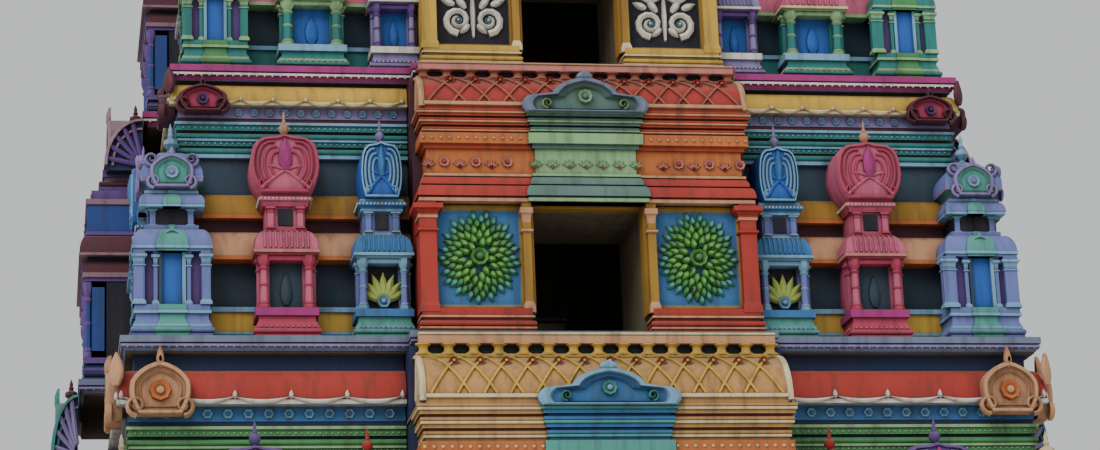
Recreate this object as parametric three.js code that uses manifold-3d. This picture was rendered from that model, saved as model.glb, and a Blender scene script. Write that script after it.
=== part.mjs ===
// Gopuram: a temple gateway tower of three storeys over a stone gate storey,
// closed by a long barrel roof with five pot finials on its ridge.
// Millimetres, +Z up, +X along the width, the street front faces -Y.
// The origin is on the ground under the middle of the gate passage.

import * as THREE from 'three';
import { ParametricGeometry } from 'three/addons/geometries/ParametricGeometry.js';
import { mergeVertices } from 'three/addons/utils/BufferGeometryUtils.js';
import Module from 'manifold-3d';

const wasm = await Module();
wasm.setup();

// Driving dimensions of the whole tower
const GAP = 0.3;                    // joint left between two pieces that touch
const OVERLAP = 60;                 // how far a joined shape runs into its neighbour
const QUARTER = Math.PI / 2;

// Gate storey
const GATE = {
  halfWidth: 5700,
  halfDepth: 3850,
  plinthTop: 1100,
  wallTop: 4100,
  corniceTop: 5100,
  bayHalfWidth: 2200,
  bayStep: 300,
  passageHalfWidth: 1300,
  passageTop: 3900,
  floorTop: 150,
  doorHalfWidth: 1000,
  doorTop: 3450,
  frameDepth: 620,
  surround: 160,                    // width of the raised band round each door
  surroundRelief: 70,
  wallInset: 90,                    // from the plan's edge back to the wall's face
  postHalf: 130,
  flankPostX: [5540, 4450, 3590, 2700],
  endPostY: [3690, 2200, 740],
  postEnds: 200,                    // from plinth and cornice to the ends of the posts
  nicheX: 4020,
  nicheHalf: 190,
  nicheFoot: 500,                   // above the plinth
  nicheTop: 2100,
  nicheDepth: 220,
};

// Storeys: sizes at the face of the small shrines that line each storey.
// widthScale, depthScale and zoneScale compare them with the middle storey, which
// shows whole. bayStep and endStep are how far the middle of the long sides and of
// the ends stands forward. ridgeRise is the row of little posts on a bay's vault.
const STOREYS = [
  {
    name: 'tier1', base: 5300, halfWidth: 5150, halfDepth: 3450, wall: 800,
    widthScale: 1.12, depthScale: 1.17, zoneScale: 1.0, zoneTop: 2020,
    moulding: 470, band: 150, eave: 360, recess: 170, eaveReach: 170, medallion: 1.15,
    bayHalfWidth: 1900, bayStep: 350, vaultRise: 620, vaultTop: 3130, ridgeRise: 160,
    endStep: 450, floor: 200,
    colours: {
      wall: 0x3f8f86, bay: 0xb9873c, shrine: 0x8d7bb0, floor: 0x8a93a8,
    },
  },
  {
    name: 'tier2', base: 8630, halfWidth: 4600, halfDepth: 2950, wall: 700,
    widthScale: 1.0, depthScale: 1.0, zoneScale: 1.0, zoneTop: 2020,
    moulding: 430, band: 120, eave: 230, recess: 40, eaveReach: 130, medallion: 0.95,
    bayHalfWidth: 1755, bayStep: 250, vaultRise: 500, vaultTop: 2880, ridgeRise: 100,
    endStep: 460, floor: 160,
    colours: {
      wall: 0xb08a3a, bay: 0xb4513a, shrine: 0x9a86b5, floor: 0x7f8aa3,
    },
  },
  {
    name: 'tier3', base: 11630, halfWidth: 4080, halfDepth: 2450, wall: 600,
    widthScale: 0.887, depthScale: 0.83, zoneScale: 0.9, zoneTop: 1820,
    moulding: 340, band: 110, eave: 210, recess: 40, eaveReach: 120, medallion: 0.85,
    bayHalfWidth: 1600, bayStep: 220, vaultRise: 430, vaultTop: 2580, ridgeRise: 100,
    endStep: 310, floor: 160,
    colours: {
      wall: 0x5f9a6b, bay: 0xc9a548, shrine: 0x6f9fb8, floor: 0xa8457a,
    },
  },
];

// Roof: floor, neck, barrel vault, horseshoe gables and the pots on the ridge
const ROOF = {
  base: 14330, floor: 180, halfWidth: 3500, halfDepth: 1950,
  neckHalfWidth: 3300, neckHalfDepth: 1620, neckWall: 400, neckTop: 950,
  windowHalfWidth: 400, windowBottom: 180, windowTop: 780,
  vaultHalfLength: 3200, vaultHalfDepth: 1900, vaultRise: 1950, vaultWall: 260,
  ridgeHalfWidth: 170, ridgeTop: 2000,
  gableDepth: 200, gableRise: 2150, potCount: 5, potPitch: 1300, potHeight: 1150,
};

const LEDGE_REACH = 120;            // how far each storey's ledge stands out past its shrines
const CORNER_STAND_OFF = 120;       // from the wall core's corner out to the shrine's middle
const BAY_SETBACK = 40;             // how much less the ledge steps forward than its bay
const END_SETBACK = 80;             // the same under the bays of the two ends

// The small shrines, at the size of the middle storey. A stack gives [z, half width].
const PANJARA = {
  stack: [
    [0, 305], [920, 305], [920, 325], [1220, 200], [1450, 200], [1450, 260], [1580, 260],
  ],
  bodyHalf: 310, nicheHalf: 175, nicheFoot: 410, nicheTop: 900, nicheDepth: 120,
  crownFoot: 1575, crownFootHalf: 225, crownRise: 610, crownSwell: 355, crownSetback: 50,
  finialFoot: 2150, finialHeight: 300, finialRadius: 80, finialSetback: 150,
  middleX: 3060, innerX: 2080, innerWidth: 0.93, innerRise: 0.97, innerSwell: 240,
  endY: 1575, endWidth: 0.89, endSwell: 325,
};
const CORNER_SHRINE = {
  stack: [
    [0, 400], [350, 400], [350, 375], [900, 375], [900, 400], [1200, 270], [1380, 250],
    [1380, 330], [1600, 250], [1740, 310], [2020, 130],
  ],
  half: 400, nicheHalf: 100, nicheFoot: 400, nicheTop: 850, nicheDepth: 90,
  nasiFoot: 1610, nasiFootHalf: 190, nasiSwell: 240, nasiRise: 400, nasiFace: 350,
  finialOffset: 60, finialFoot: 1960, finialHeight: 400, finialRadius: 80,
};

// The central bay of the long sides, at the size of the middle storey
const BAY = {
  half: 1755, baseTop: 260, panelSetback: 130, lintelFoot: 1375, lintelFace: 1430,
  friezeFoot: 1660, friezeTop: 2000, cap: 2110,
  doorHalf: 600, doorTop: 1340, panelX: 1130, panelHalf: 420, panelFoot: 320, panelTop: 1310,
  panelSink: 45, outerPostX: 1665, outerPostHalf: 88, innerPostX: 645, innerPostHalf: 42,
  stripHalf: 650, stripFoot: 1500, vaultInset: 90, vaultSteps: 5,
  nasiFootHalf: 680, nasiSwell: 780, nasiRise: 0.85, nasiRelief: 60, ridgeDepth: 90,
};

// The closed bay of each end; the profile gives [z, setback from the bay's face]
const END_BAY = {
  half: 1060,
  profile: [
    [0, 20], [260, 20], [260, 100], [1090, 100], [1090, 0], [1180, 0], [1240, 50], [1360, 50],
    [1360, -40], [1430, -40], [1600, 60], [1640, 30], [2000, 30], [2000, 90], [2110, 90],
    [2110, 180],
  ],
  bodySetback: 100, vaultSetback: 230, vaultInset: 60, vaultSteps: 4,
  nicheX: 690, nicheHalf: 230, nicheFoot: 340, nicheTop: 1020, nicheDepth: 130,
  nasiSetback: 270, nasiFootHalf: 520, nasiSwell: 640, nasiRise: 850,
};

// Turns a closed geometry into a solid. Triangles that collapse where a surface
// runs to a point are dropped, and a shape that comes out inside out is turned.
function solid(geometry) {
  const shell = geometry.clone();
  shell.deleteAttribute('normal');
  shell.deleteAttribute('uv');
  const merged = mergeVertices(shell, 1e-3);
  const place = merged.attributes.position;
  const corners = [0, 1, 2].map(() => new THREE.Vector3());
  const faces = [];
  let volume = 0;
  for (let i = 0; i < merged.index.count; i += 3) {
    const face = [0, 1, 2].map((k) => merged.index.getX(i + k));
    if (new Set(face).size < 3) continue;
    face.forEach((vertex, k) => corners[k].fromBufferAttribute(place, vertex));
    volume += corners[0].dot(corners[1].clone().cross(corners[2]));
    faces.push(face);
  }
  const ordered = volume < 0 ? faces.map(([a, b, c]) => [a, c, b]) : faces;
  return new wasm.Manifold(new wasm.Mesh({
    numProp: 3,
    vertProperties: Float32Array.from(place.array),
    triVerts: Uint32Array.from(ordered.flat()),
  }));
}

// Gives a solid back as a geometry
function geometryOf(shape) {
  const { vertProperties, triVerts } = shape.getMesh();
  const geometry = new THREE.BufferGeometry();
  geometry.setAttribute('position', new THREE.BufferAttribute(Float32Array.from(vertProperties), 3));
  geometry.setIndex(new THREE.BufferAttribute(Uint32Array.from(triVerts), 1));
  geometry.computeVertexNormals();
  return geometry;
}

// Joins a list of geometries into one solid
function join(geometries) {
  return geometries.map(solid).reduce((whole, piece) => whole.add(piece));
}

// Turns every geometry of a list about +Z
function turned(geometries, angle) {
  return geometries.map((geometry) => geometry.clone().rotateZ(angle));
}

// Moves every geometry of a list
function moved(geometries, x, y, z) {
  return geometries.map((geometry) => geometry.clone().translate(x, y, z));
}

// A rectangular block between two corners
function block(x0, x1, y0, y1, z0, z1) {
  const box = new THREE.BoxGeometry(x1 - x0, y1 - y0, z1 - z0);
  return box.translate((x0 + x1) / 2, (y0 + y1) / 2, (z0 + z1) / 2);
}

// An outline drawn in X and Z, run back along +Y from its front
function frontPlate(shape, front, depth, curveSegments = 3) {
  const plate = new THREE.ExtrudeGeometry(shape, { depth, bevelEnabled: false, curveSegments });
  return plate.rotateX(QUARTER).translate(0, front + depth, 0);
}

// A moulding profile given as [y, z] points, run along X
function alongX(profile, x0, x1) {
  const shape = new THREE.Shape(profile.map(([y, z]) => new THREE.Vector2(y, z)));
  const bar = new THREE.ExtrudeGeometry(shape, { depth: x1 - x0, bevelEnabled: false });
  const axes = new THREE.Matrix4().makeBasis(
    new THREE.Vector3(0, 1, 0),
    new THREE.Vector3(0, 0, 1),
    new THREE.Vector3(1, 0, 0),
  );
  return bar.applyMatrix4(axes).translate(x0, 0, 0);
}

// Plan outlines, counter-clockwise from above
function rectangle(halfX, halfY) {
  return [[-halfX, -halfY], [halfX, -halfY], [halfX, halfY], [-halfX, halfY]];
}

// A rectangle whose sides step forward in their middle: the two long sides and the
// two ends each have the half width of the step and how far it goes
function steppedRectangle(halfX, halfY, [longHalf, longStep], [endHalf, endStep]) {
  const front = [
    [-longHalf, -halfY], [-longHalf, -halfY - longStep],
    [longHalf, -halfY - longStep], [longHalf, -halfY],
  ];
  const right = [
    [halfX, -endHalf], [halfX + endStep, -endHalf],
    [halfX + endStep, endHalf], [halfX, endHalf],
  ];
  const half = [
    [-halfX, -halfY], ...(longStep > 0 ? front : []),
    [halfX, -halfY], ...(endStep > 0 ? right : []),
  ];
  return [...half, ...half.map(([x, y]) => [-x, -y])];
}

// Courses of masonry: a profile of [z, reach] points carried round a plan. Each
// corner of the plan moves out along both of its walls by the reach, so that the
// mouldings meet in mitres, and the surface runs to the middle at top and bottom.
function courses(plan, profile) {
  const count = plan.length;
  const sides = plan.map(([x, y], i) => {
    const [nextX, nextY] = plan[(i + 1) % count];
    const length = Math.hypot(nextX - x, nextY - y);
    return [(nextY - y) / length, (x - nextX) / length];
  });
  const middleX = plan.reduce((sum, [x]) => sum + x, 0) / count;
  const middleY = plan.reduce((sum, [, y]) => sum + y, 0) / count;
  const stacks = profile.length + 1;
  const surface = (u, v, target) => {
    const corner = Math.round(u * count) % count;
    const level = Math.round(v * stacks);
    if (level === 0 || level === stacks) {
      const [z] = profile[level === 0 ? 0 : profile.length - 1];
      target.set(middleX, middleY, z);
      return;
    }
    const [z, reach] = profile[level - 1];
    const before = sides[(corner + count - 1) % count];
    const after = sides[corner];
    target.set(
      plan[corner][0] + (before[0] + after[0]) * reach,
      plan[corner][1] + (before[1] + after[1]) * reach,
      z,
    );
  };
  return new ParametricGeometry(surface, count, stacks);
}

// A turned shape, from [radius, height] points that start and end on the axis
function turnedShape(profile, segments, x, y, z) {
  const points = profile.map(([radius, height]) => new THREE.Vector2(radius, height));
  const lathe = new THREE.LatheGeometry(points, segments, Math.PI / segments);
  return lathe.rotateX(QUARTER).translate(x, y, z);
}

// The horseshoe outline of a nasi, the arched gable used all over the tower:
// it swells from its foot and closes in a point at the top
function horseshoe(x, foot, footHalf, swellHalf, rise) {
  const shoulder = foot + rise * 0.62;
  const shape = new THREE.Shape();
  shape.moveTo(x - footHalf, foot);
  shape.lineTo(x + footHalf, foot);
  shape.quadraticCurveTo(x + swellHalf * 1.12, foot + rise * 0.3, x + swellHalf, shoulder);
  shape.quadraticCurveTo(x + swellHalf * 0.72, foot + rise * 0.9, x, foot + rise);
  shape.quadraticCurveTo(x - swellHalf * 0.72, foot + rise * 0.9, x - swellHalf, shoulder);
  shape.quadraticCurveTo(x - swellHalf * 1.12, foot + rise * 0.3, x - footHalf, foot);
  return shape;
}

// The outline of a panjara's crown: a bulb with two round shoulders
function bulb(x, foot, footHalf, swellHalf, rise) {
  const shoulder = foot + rise * 0.68;
  const top = foot + rise;
  const shape = new THREE.Shape();
  shape.moveTo(x - footHalf, foot);
  shape.lineTo(x + footHalf, foot);
  shape.quadraticCurveTo(x + swellHalf * 1.05, foot + rise * 0.3, x + swellHalf, shoulder);
  shape.quadraticCurveTo(x + swellHalf * 0.94, foot + rise * 1.02, x + swellHalf * 0.4, top);
  shape.lineTo(x - swellHalf * 0.4, top);
  shape.quadraticCurveTo(x - swellHalf * 0.94, foot + rise * 1.02, x - swellHalf, shoulder);
  shape.quadraticCurveTo(x - swellHalf * 1.05, foot + rise * 0.3, x - footHalf, foot);
  return shape;
}

// A small pot finial with a square-cut body
function smallFinial(x, y, foot, radius, height) {
  return turnedShape([[0, 0], [radius, height * 0.4], [0, height]], 4, x, y, foot);
}

// Courses on a rectangle about (x, y) whose half sides are halfX and halfY; the
// stack gives [z, half width] and the depth keeps step with the width
function stackedCourses(x, y, halfX, halfY, stack) {
  const plan = rectangle(halfX, halfY).map(([px, py]) => [px + x, py + y]);
  return courses(plan, stack.map(([z, half]) => [z, half - halfX]));
}

// The panjara, the narrow shrine of each storey, facing -Y at x. Heights count
// from the ledge and follow scaleZ; its back runs into the wall core.
function panjara(x, face, core, scaleX, scaleZ, swell) {
  const half = (value) => value * scaleX;
  const level = (value) => value * scaleZ;
  const depth = core + OVERLAP * 3 - face;
  const stack = PANJARA.stack.map(([z, width]) => [level(z), half(width)]);
  const niche = block(
    x - half(PANJARA.nicheHalf), x + half(PANJARA.nicheHalf),
    face - OVERLAP, face + half(PANJARA.nicheDepth), level(PANJARA.nicheFoot), level(PANJARA.nicheTop),
  );
  const middleY = face + half(15) + depth / 2;
  const body = solid(stackedCourses(x, middleY, half(PANJARA.bodyHalf), depth / 2, stack))
    .subtract(solid(niche));
  const outline = bulb(
    x, level(PANJARA.crownFoot), half(PANJARA.crownFootHalf), half(swell), level(PANJARA.crownRise),
  );
  const crown = frontPlate(outline, face + PANJARA.crownSetback, depth - OVERLAP, 2);
  const finial = smallFinial(
    x, face + PANJARA.finialSetback, level(PANJARA.finialFoot), half(PANJARA.finialRadius),
    level(PANJARA.finialHeight),
  );
  return join([crown, finial]).add(body);
}

// Profile of the wall courses of a storey, as [z, reach] from the wall core
function wallProfile(storey) {
  const level = (value) => value * storey.zoneScale;
  const mouldingFoot = storey.zoneTop;
  const bandFoot = mouldingFoot + storey.moulding;
  const eaveFoot = bandFoot + storey.band;
  const recessFoot = eaveFoot + storey.eave;
  const ceiling = recessFoot + storey.recess;
  const reach = storey.eaveReach;
  return [
    [0, 130], [level(420), 130], [level(420), 0],
    [level(900), 0], [level(900), 200], [level(1230), 30], [level(1230), 0],
    [level(1360), 0], [level(1360), 110], [level(1630), 20], [level(1630), 0],
    [mouldingFoot, 0], [mouldingFoot, 50], [mouldingFoot + storey.moulding * 0.4, 50],
    [mouldingFoot + storey.moulding * 0.4, 10], [mouldingFoot + storey.moulding * 0.55, 10],
    [mouldingFoot + storey.moulding * 0.55, 75], [bandFoot, 75], [bandFoot, 40],
    [eaveFoot, 40], [eaveFoot, reach], [eaveFoot + storey.eave * 0.35, reach],
    [recessFoot, 50], [recessFoot, 0], [ceiling, 0],
  ];
}

// How far out a storey's ledge comes under its central bays: front and ends. The
// roof has no bays.
function ledgeEdges(storey) {
  const { halfWidth, halfDepth, bayStep, endStep } = storey;
  return {
    front: halfDepth + LEDGE_REACH + (bayStep ? bayStep - BAY_SETBACK : 0),
    end: halfWidth + LEDGE_REACH + (endStep ? endStep - END_SETBACK : 0),
  };
}

// Heights and planes of a storey that several pieces share
function storeyPlanes(storey, above) {
  const ceiling = storey.zoneTop + storey.moulding + storey.band + storey.eave + storey.recess;
  const shrineHalf = CORNER_SHRINE.half * storey.widthScale;
  const shrineX = storey.halfWidth - shrineHalf;
  const shrineY = storey.halfDepth - shrineHalf;
  const coreX = shrineX - CORNER_STAND_OFF;
  const coreY = shrineY - CORNER_STAND_OFF;
  const bayFront = storey.halfDepth + storey.bayStep;
  const bayEnd = storey.halfWidth + storey.endStep;
  const ledgeAbove = ledgeEdges(above);
  return { ceiling, coreX, coreY, shrineHalf, shrineX, shrineY, bayFront, bayEnd, ledgeAbove };
}

// Horseshoe medallions on the eave near the storey's corners, and an upturned leaf
// at each corner of the eave
function eaveOrnaments(storey, planes) {
  const scale = storey.medallion;
  const eaveFoot = storey.zoneTop + storey.moulding + storey.band;
  const foot = eaveFoot - storey.band * 0.8;
  const rise = planes.ceiling - 15 - foot;
  const medallion = (x, face) => (
    frontPlate(horseshoe(x, foot, 170 * scale, 235 * scale, rise), -face - 30, 170, 1)
  );
  const frontFace = planes.coreY + storey.eaveReach;
  const endFace = planes.coreX + storey.eaveReach;
  const frontX = planes.coreX - 220 * scale;
  const endX = planes.coreY - 220 * scale;
  const leaf = new THREE.Shape();
  leaf.moveTo(-60, 0);
  leaf.lineTo(30, 0);
  leaf.quadraticCurveTo(150 * scale, 60, 130 * scale, 300 * scale);
  leaf.quadraticCurveTo(40, 170 * scale, -60, 150 * scale);
  const leafPlate = frontPlate(leaf, -35, 70, 2);
  const leafAt = (x, y) => moved(
    turned([leafPlate], Math.sign(y) * Math.PI * 0.75),
    -x + 30, y - Math.sign(y) * 30, eaveFoot + storey.eave * 0.3,
  );
  return [
    medallion(-frontX, frontFace),
    ...turned([medallion(frontX, frontFace)], Math.PI),
    ...turned([medallion(endX, endFace), medallion(-endX, endFace)], -QUARTER),
    ...leafAt(endFace, -frontFace),
    ...leafAt(endFace, frontFace),
  ];
}

// Turns a finished solid that faces -Y so that it faces another side
function facing(shape, angle) {
  return solid(geometryOf(shape).rotateZ(angle));
}

// The outline of a quarter of a barrel vault in Y and Z, from its springing at the
// front up to its crown at the back
function quarterVault(front, back, foot, rise, steps) {
  const outline = [[back, foot - OVERLAP], [front, foot - OVERLAP]];
  for (let i = 0; i <= steps; i += 1) {
    const angle = QUARTER * (i / steps);
    outline.push([back - (back - front) * Math.cos(angle), foot + rise * Math.sin(angle)]);
  }
  return outline;
}

// The closed bay in the middle of an end, drawn as if it faced -Y: three niches,
// eave, frieze and mouldings, and half a barrel vault with a horseshoe gable
function endBay(storey, planes) {
  const half = (value) => value * storey.depthScale;
  const level = (value) => value * storey.zoneScale;
  const face = -planes.bayEnd;
  const back = -planes.coreX + OVERLAP * 3;
  const vaultFoot = storey.vaultTop - storey.vaultRise;
  const vaultFace = face + END_BAY.vaultSetback;
  const vaultBack = -planes.ledgeAbove.end - GAP;
  const [cap, capSetback] = END_BAY.profile[END_BAY.profile.length - 1];
  const coving = (level(cap) + vaultFoot) / 2;
  const section = [
    [back, 0], ...END_BAY.profile.map(([z, setback]) => [face + setback, level(z)]),
    [face + capSetback, coving], [vaultFace, coving], [vaultFace, vaultFoot],
    [vaultBack, vaultFoot], [vaultBack, planes.ceiling], [back, planes.ceiling],
  ];
  const vault = quarterVault(
    vaultFace + 20, vaultBack, vaultFoot, storey.vaultRise, END_BAY.vaultSteps,
  );
  const nasiFace = face + END_BAY.nasiSetback;
  const nasi = horseshoe(
    0, vaultFoot - 30, half(END_BAY.nasiFootHalf), half(END_BAY.nasiSwell), level(END_BAY.nasiRise),
  );
  const body = face + END_BAY.bodySetback;
  const niches = [-1, 0, 1].map((place) => block(
    half(place * END_BAY.nicheX - END_BAY.nicheHalf), half(place * END_BAY.nicheX + END_BAY.nicheHalf),
    body - OVERLAP, body + END_BAY.nicheDepth, level(END_BAY.nicheFoot), level(END_BAY.nicheTop),
  ));
  const reach = half(END_BAY.half);
  return join([
    alongX(section, -reach, reach),
    alongX(vault, -reach + END_BAY.vaultInset, reach - END_BAY.vaultInset),
    frontPlate(nasi, nasiFace, vaultBack - nasiFace, 3),
  ]).subtract(join(niches));
}

// One end wall of a storey, wrapped round both corners as far as the central bays
// and notched where the corner shrines stand, below the entablature
function endWall(storey, planes) {
  const wide = storey.halfWidth * 2;
  const deep = storey.halfDepth * 2;
  const top = planes.ceiling + OVERLAP;
  const ring = solid(courses(rectangle(planes.coreX, planes.coreY), wallProfile(storey)));
  const roomX = planes.coreX - storey.wall;
  const roomY = planes.coreY - storey.wall;
  const room = solid(block(-roomX, roomX, -roomY, roomY, -OVERLAP, top));
  const beyondBay = solid(block(-storey.bayHalfWidth - GAP, wide, -deep, deep, -OVERLAP, top));
  const notches = [-1, 1].map((sign) => {
    const half = planes.shrineHalf + GAP;
    const x = -planes.shrineX;
    const y = sign * planes.shrineY;
    return solid(block(x - half, x + half, y - half, y + half, -OVERLAP, storey.zoneTop));
  });
  const { widthScale, depthScale, zoneScale } = storey;
  const frontShrine = (x, size, rise, swell) => panjara(
    x * widthScale, -storey.halfDepth, -planes.coreY, widthScale * size, zoneScale * rise, swell,
  );
  const middle = (sign) => frontShrine(sign * PANJARA.middleX, 1, 1, PANJARA.crownSwell);
  const inner = (sign) => frontShrine(
    sign * PANJARA.innerX, PANJARA.innerWidth, PANJARA.innerRise, PANJARA.innerSwell,
  );
  const side = (sign) => panjara(
    sign * PANJARA.endY * depthScale, -storey.halfWidth, -planes.coreX,
    PANJARA.endWidth * depthScale, zoneScale, PANJARA.endSwell,
  );
  const shrines = [
    inner(-1), middle(-1), facing(inner(1), Math.PI), facing(middle(1), Math.PI),
    facing(side(-1), -QUARTER), facing(side(1), -QUARTER), facing(endBay(storey, planes), -QUARTER),
  ];
  const core = [room, beyondBay, ...notches].reduce((whole, cut) => whole.subtract(cut), ring);
  return shrines
    .reduce((whole, shrine) => whole.add(shrine), core)
    .add(join(eaveOrnaments(storey, planes)))
    .subtract(beyondBay);
}

// The corner shrine of a storey about its own middle: base, body with a niche on
// each side, two eaves, a square dome crossed by two horseshoe vaults, and a finial
function cornerShrine(storey) {
  const half = (value) => value * storey.widthScale;
  const level = (value) => value * storey.zoneScale;
  const size = CORNER_SHRINE;
  const stack = size.stack.map(
    ([z, halfSide]) => [Math.min(level(z), storey.zoneTop - GAP), half(halfSide)],
  );
  const nasi = frontPlate(
    horseshoe(0, level(size.nasiFoot), half(size.nasiFootHalf), half(size.nasiSwell), level(size.nasiRise)),
    -half(size.nasiFace), half(size.nasiFace * 2), 1,
  );
  const niche = block(
    -half(size.nicheHalf), half(size.nicheHalf), -half(size.half + 10), -half(size.half - size.nicheDepth),
    level(size.nicheFoot), level(size.nicheTop),
  );
  const body = join([
    stackedCourses(0, 0, half(size.half), half(size.half), stack),
    nasi,
    ...turned([nasi], QUARTER),
    smallFinial(
      -half(size.finialOffset), -half(size.finialOffset), level(size.finialFoot),
      half(size.finialRadius), level(size.finialHeight),
    ),
  ]);
  return body.subtract(join([niche, ...turned([niche], -QUARTER)]));
}

// The central bay of a storey, facing -Y: doorway, framed panels, lintel eave,
// frieze and mouldings, with half a barrel vault leaning on the ledge above
function centralBay(storey, planes) {
  const bay = storey.bayHalfWidth;
  const half = (value) => value * (bay / BAY.half);
  const level = (value) => value * storey.zoneScale;
  const front = -planes.bayFront;
  const back = -(planes.coreY - storey.wall);
  const panelPlane = front + BAY.panelSetback;
  const vaultFoot = storey.vaultTop - storey.vaultRise;
  const vaultBack = -planes.ledgeAbove.front - GAP;
  const lintel = level(BAY.lintelFoot);
  const frieze = level(BAY.friezeTop);
  const cap = level(BAY.cap);
  const section = [
    [back, 0], [front, 0], [front, level(BAY.baseTop)], [panelPlane, level(BAY.baseTop)],
    [panelPlane, lintel], [front - 40, lintel], [front - 40, level(BAY.lintelFace)],
    [front + 100, level(BAY.friezeFoot)], [front + 100, frieze], [front + 40, frieze],
    [front + 40, cap], [front + 90, cap], [front + 90, (cap + vaultFoot) / 2],
    [front, vaultFoot - 60], [front, vaultFoot], [vaultBack, vaultFoot],
    [vaultBack, planes.ceiling], [back, planes.ceiling],
  ];
  const vault = quarterVault(front + 20, vaultBack, vaultFoot, storey.vaultRise, BAY.vaultSteps);
  const post = (x, halfX) => block(
    half(x - halfX), half(x + halfX), front + 30, panelPlane + OVERLAP, level(200), level(1385),
  );
  const uprights = [-1, 1].flatMap((side) => [
    post(side * BAY.outerPostX, BAY.outerPostHalf),
    post(side * BAY.innerPostX, BAY.innerPostHalf),
  ]);
  const middleStrip = block(
    -half(BAY.stripHalf), half(BAY.stripHalf), front + 10, panelPlane + OVERLAP,
    level(BAY.stripFoot), vaultFoot - 10,
  );
  const nasi = frontPlate(
    horseshoe(
      0, vaultFoot - 30, half(BAY.nasiFootHalf), half(BAY.nasiSwell), storey.vaultRise * BAY.nasiRise,
    ),
    front - BAY.nasiRelief, vaultBack - front, 3,
  );
  const ridge = block(
    -bay + BAY.vaultInset, bay - BAY.vaultInset, vaultBack - BAY.ridgeDepth, vaultBack,
    storey.vaultTop - OVERLAP, storey.vaultTop + storey.ridgeRise,
  );
  const doorway = block(-half(BAY.doorHalf), half(BAY.doorHalf), front * 2, 0, -10, level(BAY.doorTop));
  const panels = [-1, 1].map((side) => block(
    half(side * BAY.panelX - BAY.panelHalf), half(side * BAY.panelX + BAY.panelHalf),
    front * 2, panelPlane + BAY.panelSink, level(BAY.panelFoot), level(BAY.panelTop),
  ));
  const mass = join([
    alongX(section, -bay, bay),
    alongX(vault, -bay + BAY.vaultInset, bay - BAY.vaultInset),
    middleStrip, nasi, ridge,
  ]);
  return mass
    .subtract(join(panels))
    .add(join(uprights))
    .subtract(solid(doorway));
}

// The floor slab of a storey, moulded as the ledge that the shrines stand on
function floorSlab(plan, thickness) {
  return solid(courses(plan, [[-thickness, -60], [-thickness * 0.5, 0], [0, 0]]));
}

// Builds a named mesh from a solid
function mesh(name, shape, colour, roughness = 0.8, metalness = 0) {
  const piece = new THREE.Mesh(
    geometryOf(shape),
    new THREE.MeshStandardMaterial({ color: colour, roughness, metalness }),
  );
  piece.name = name;
  return piece;
}

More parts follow.
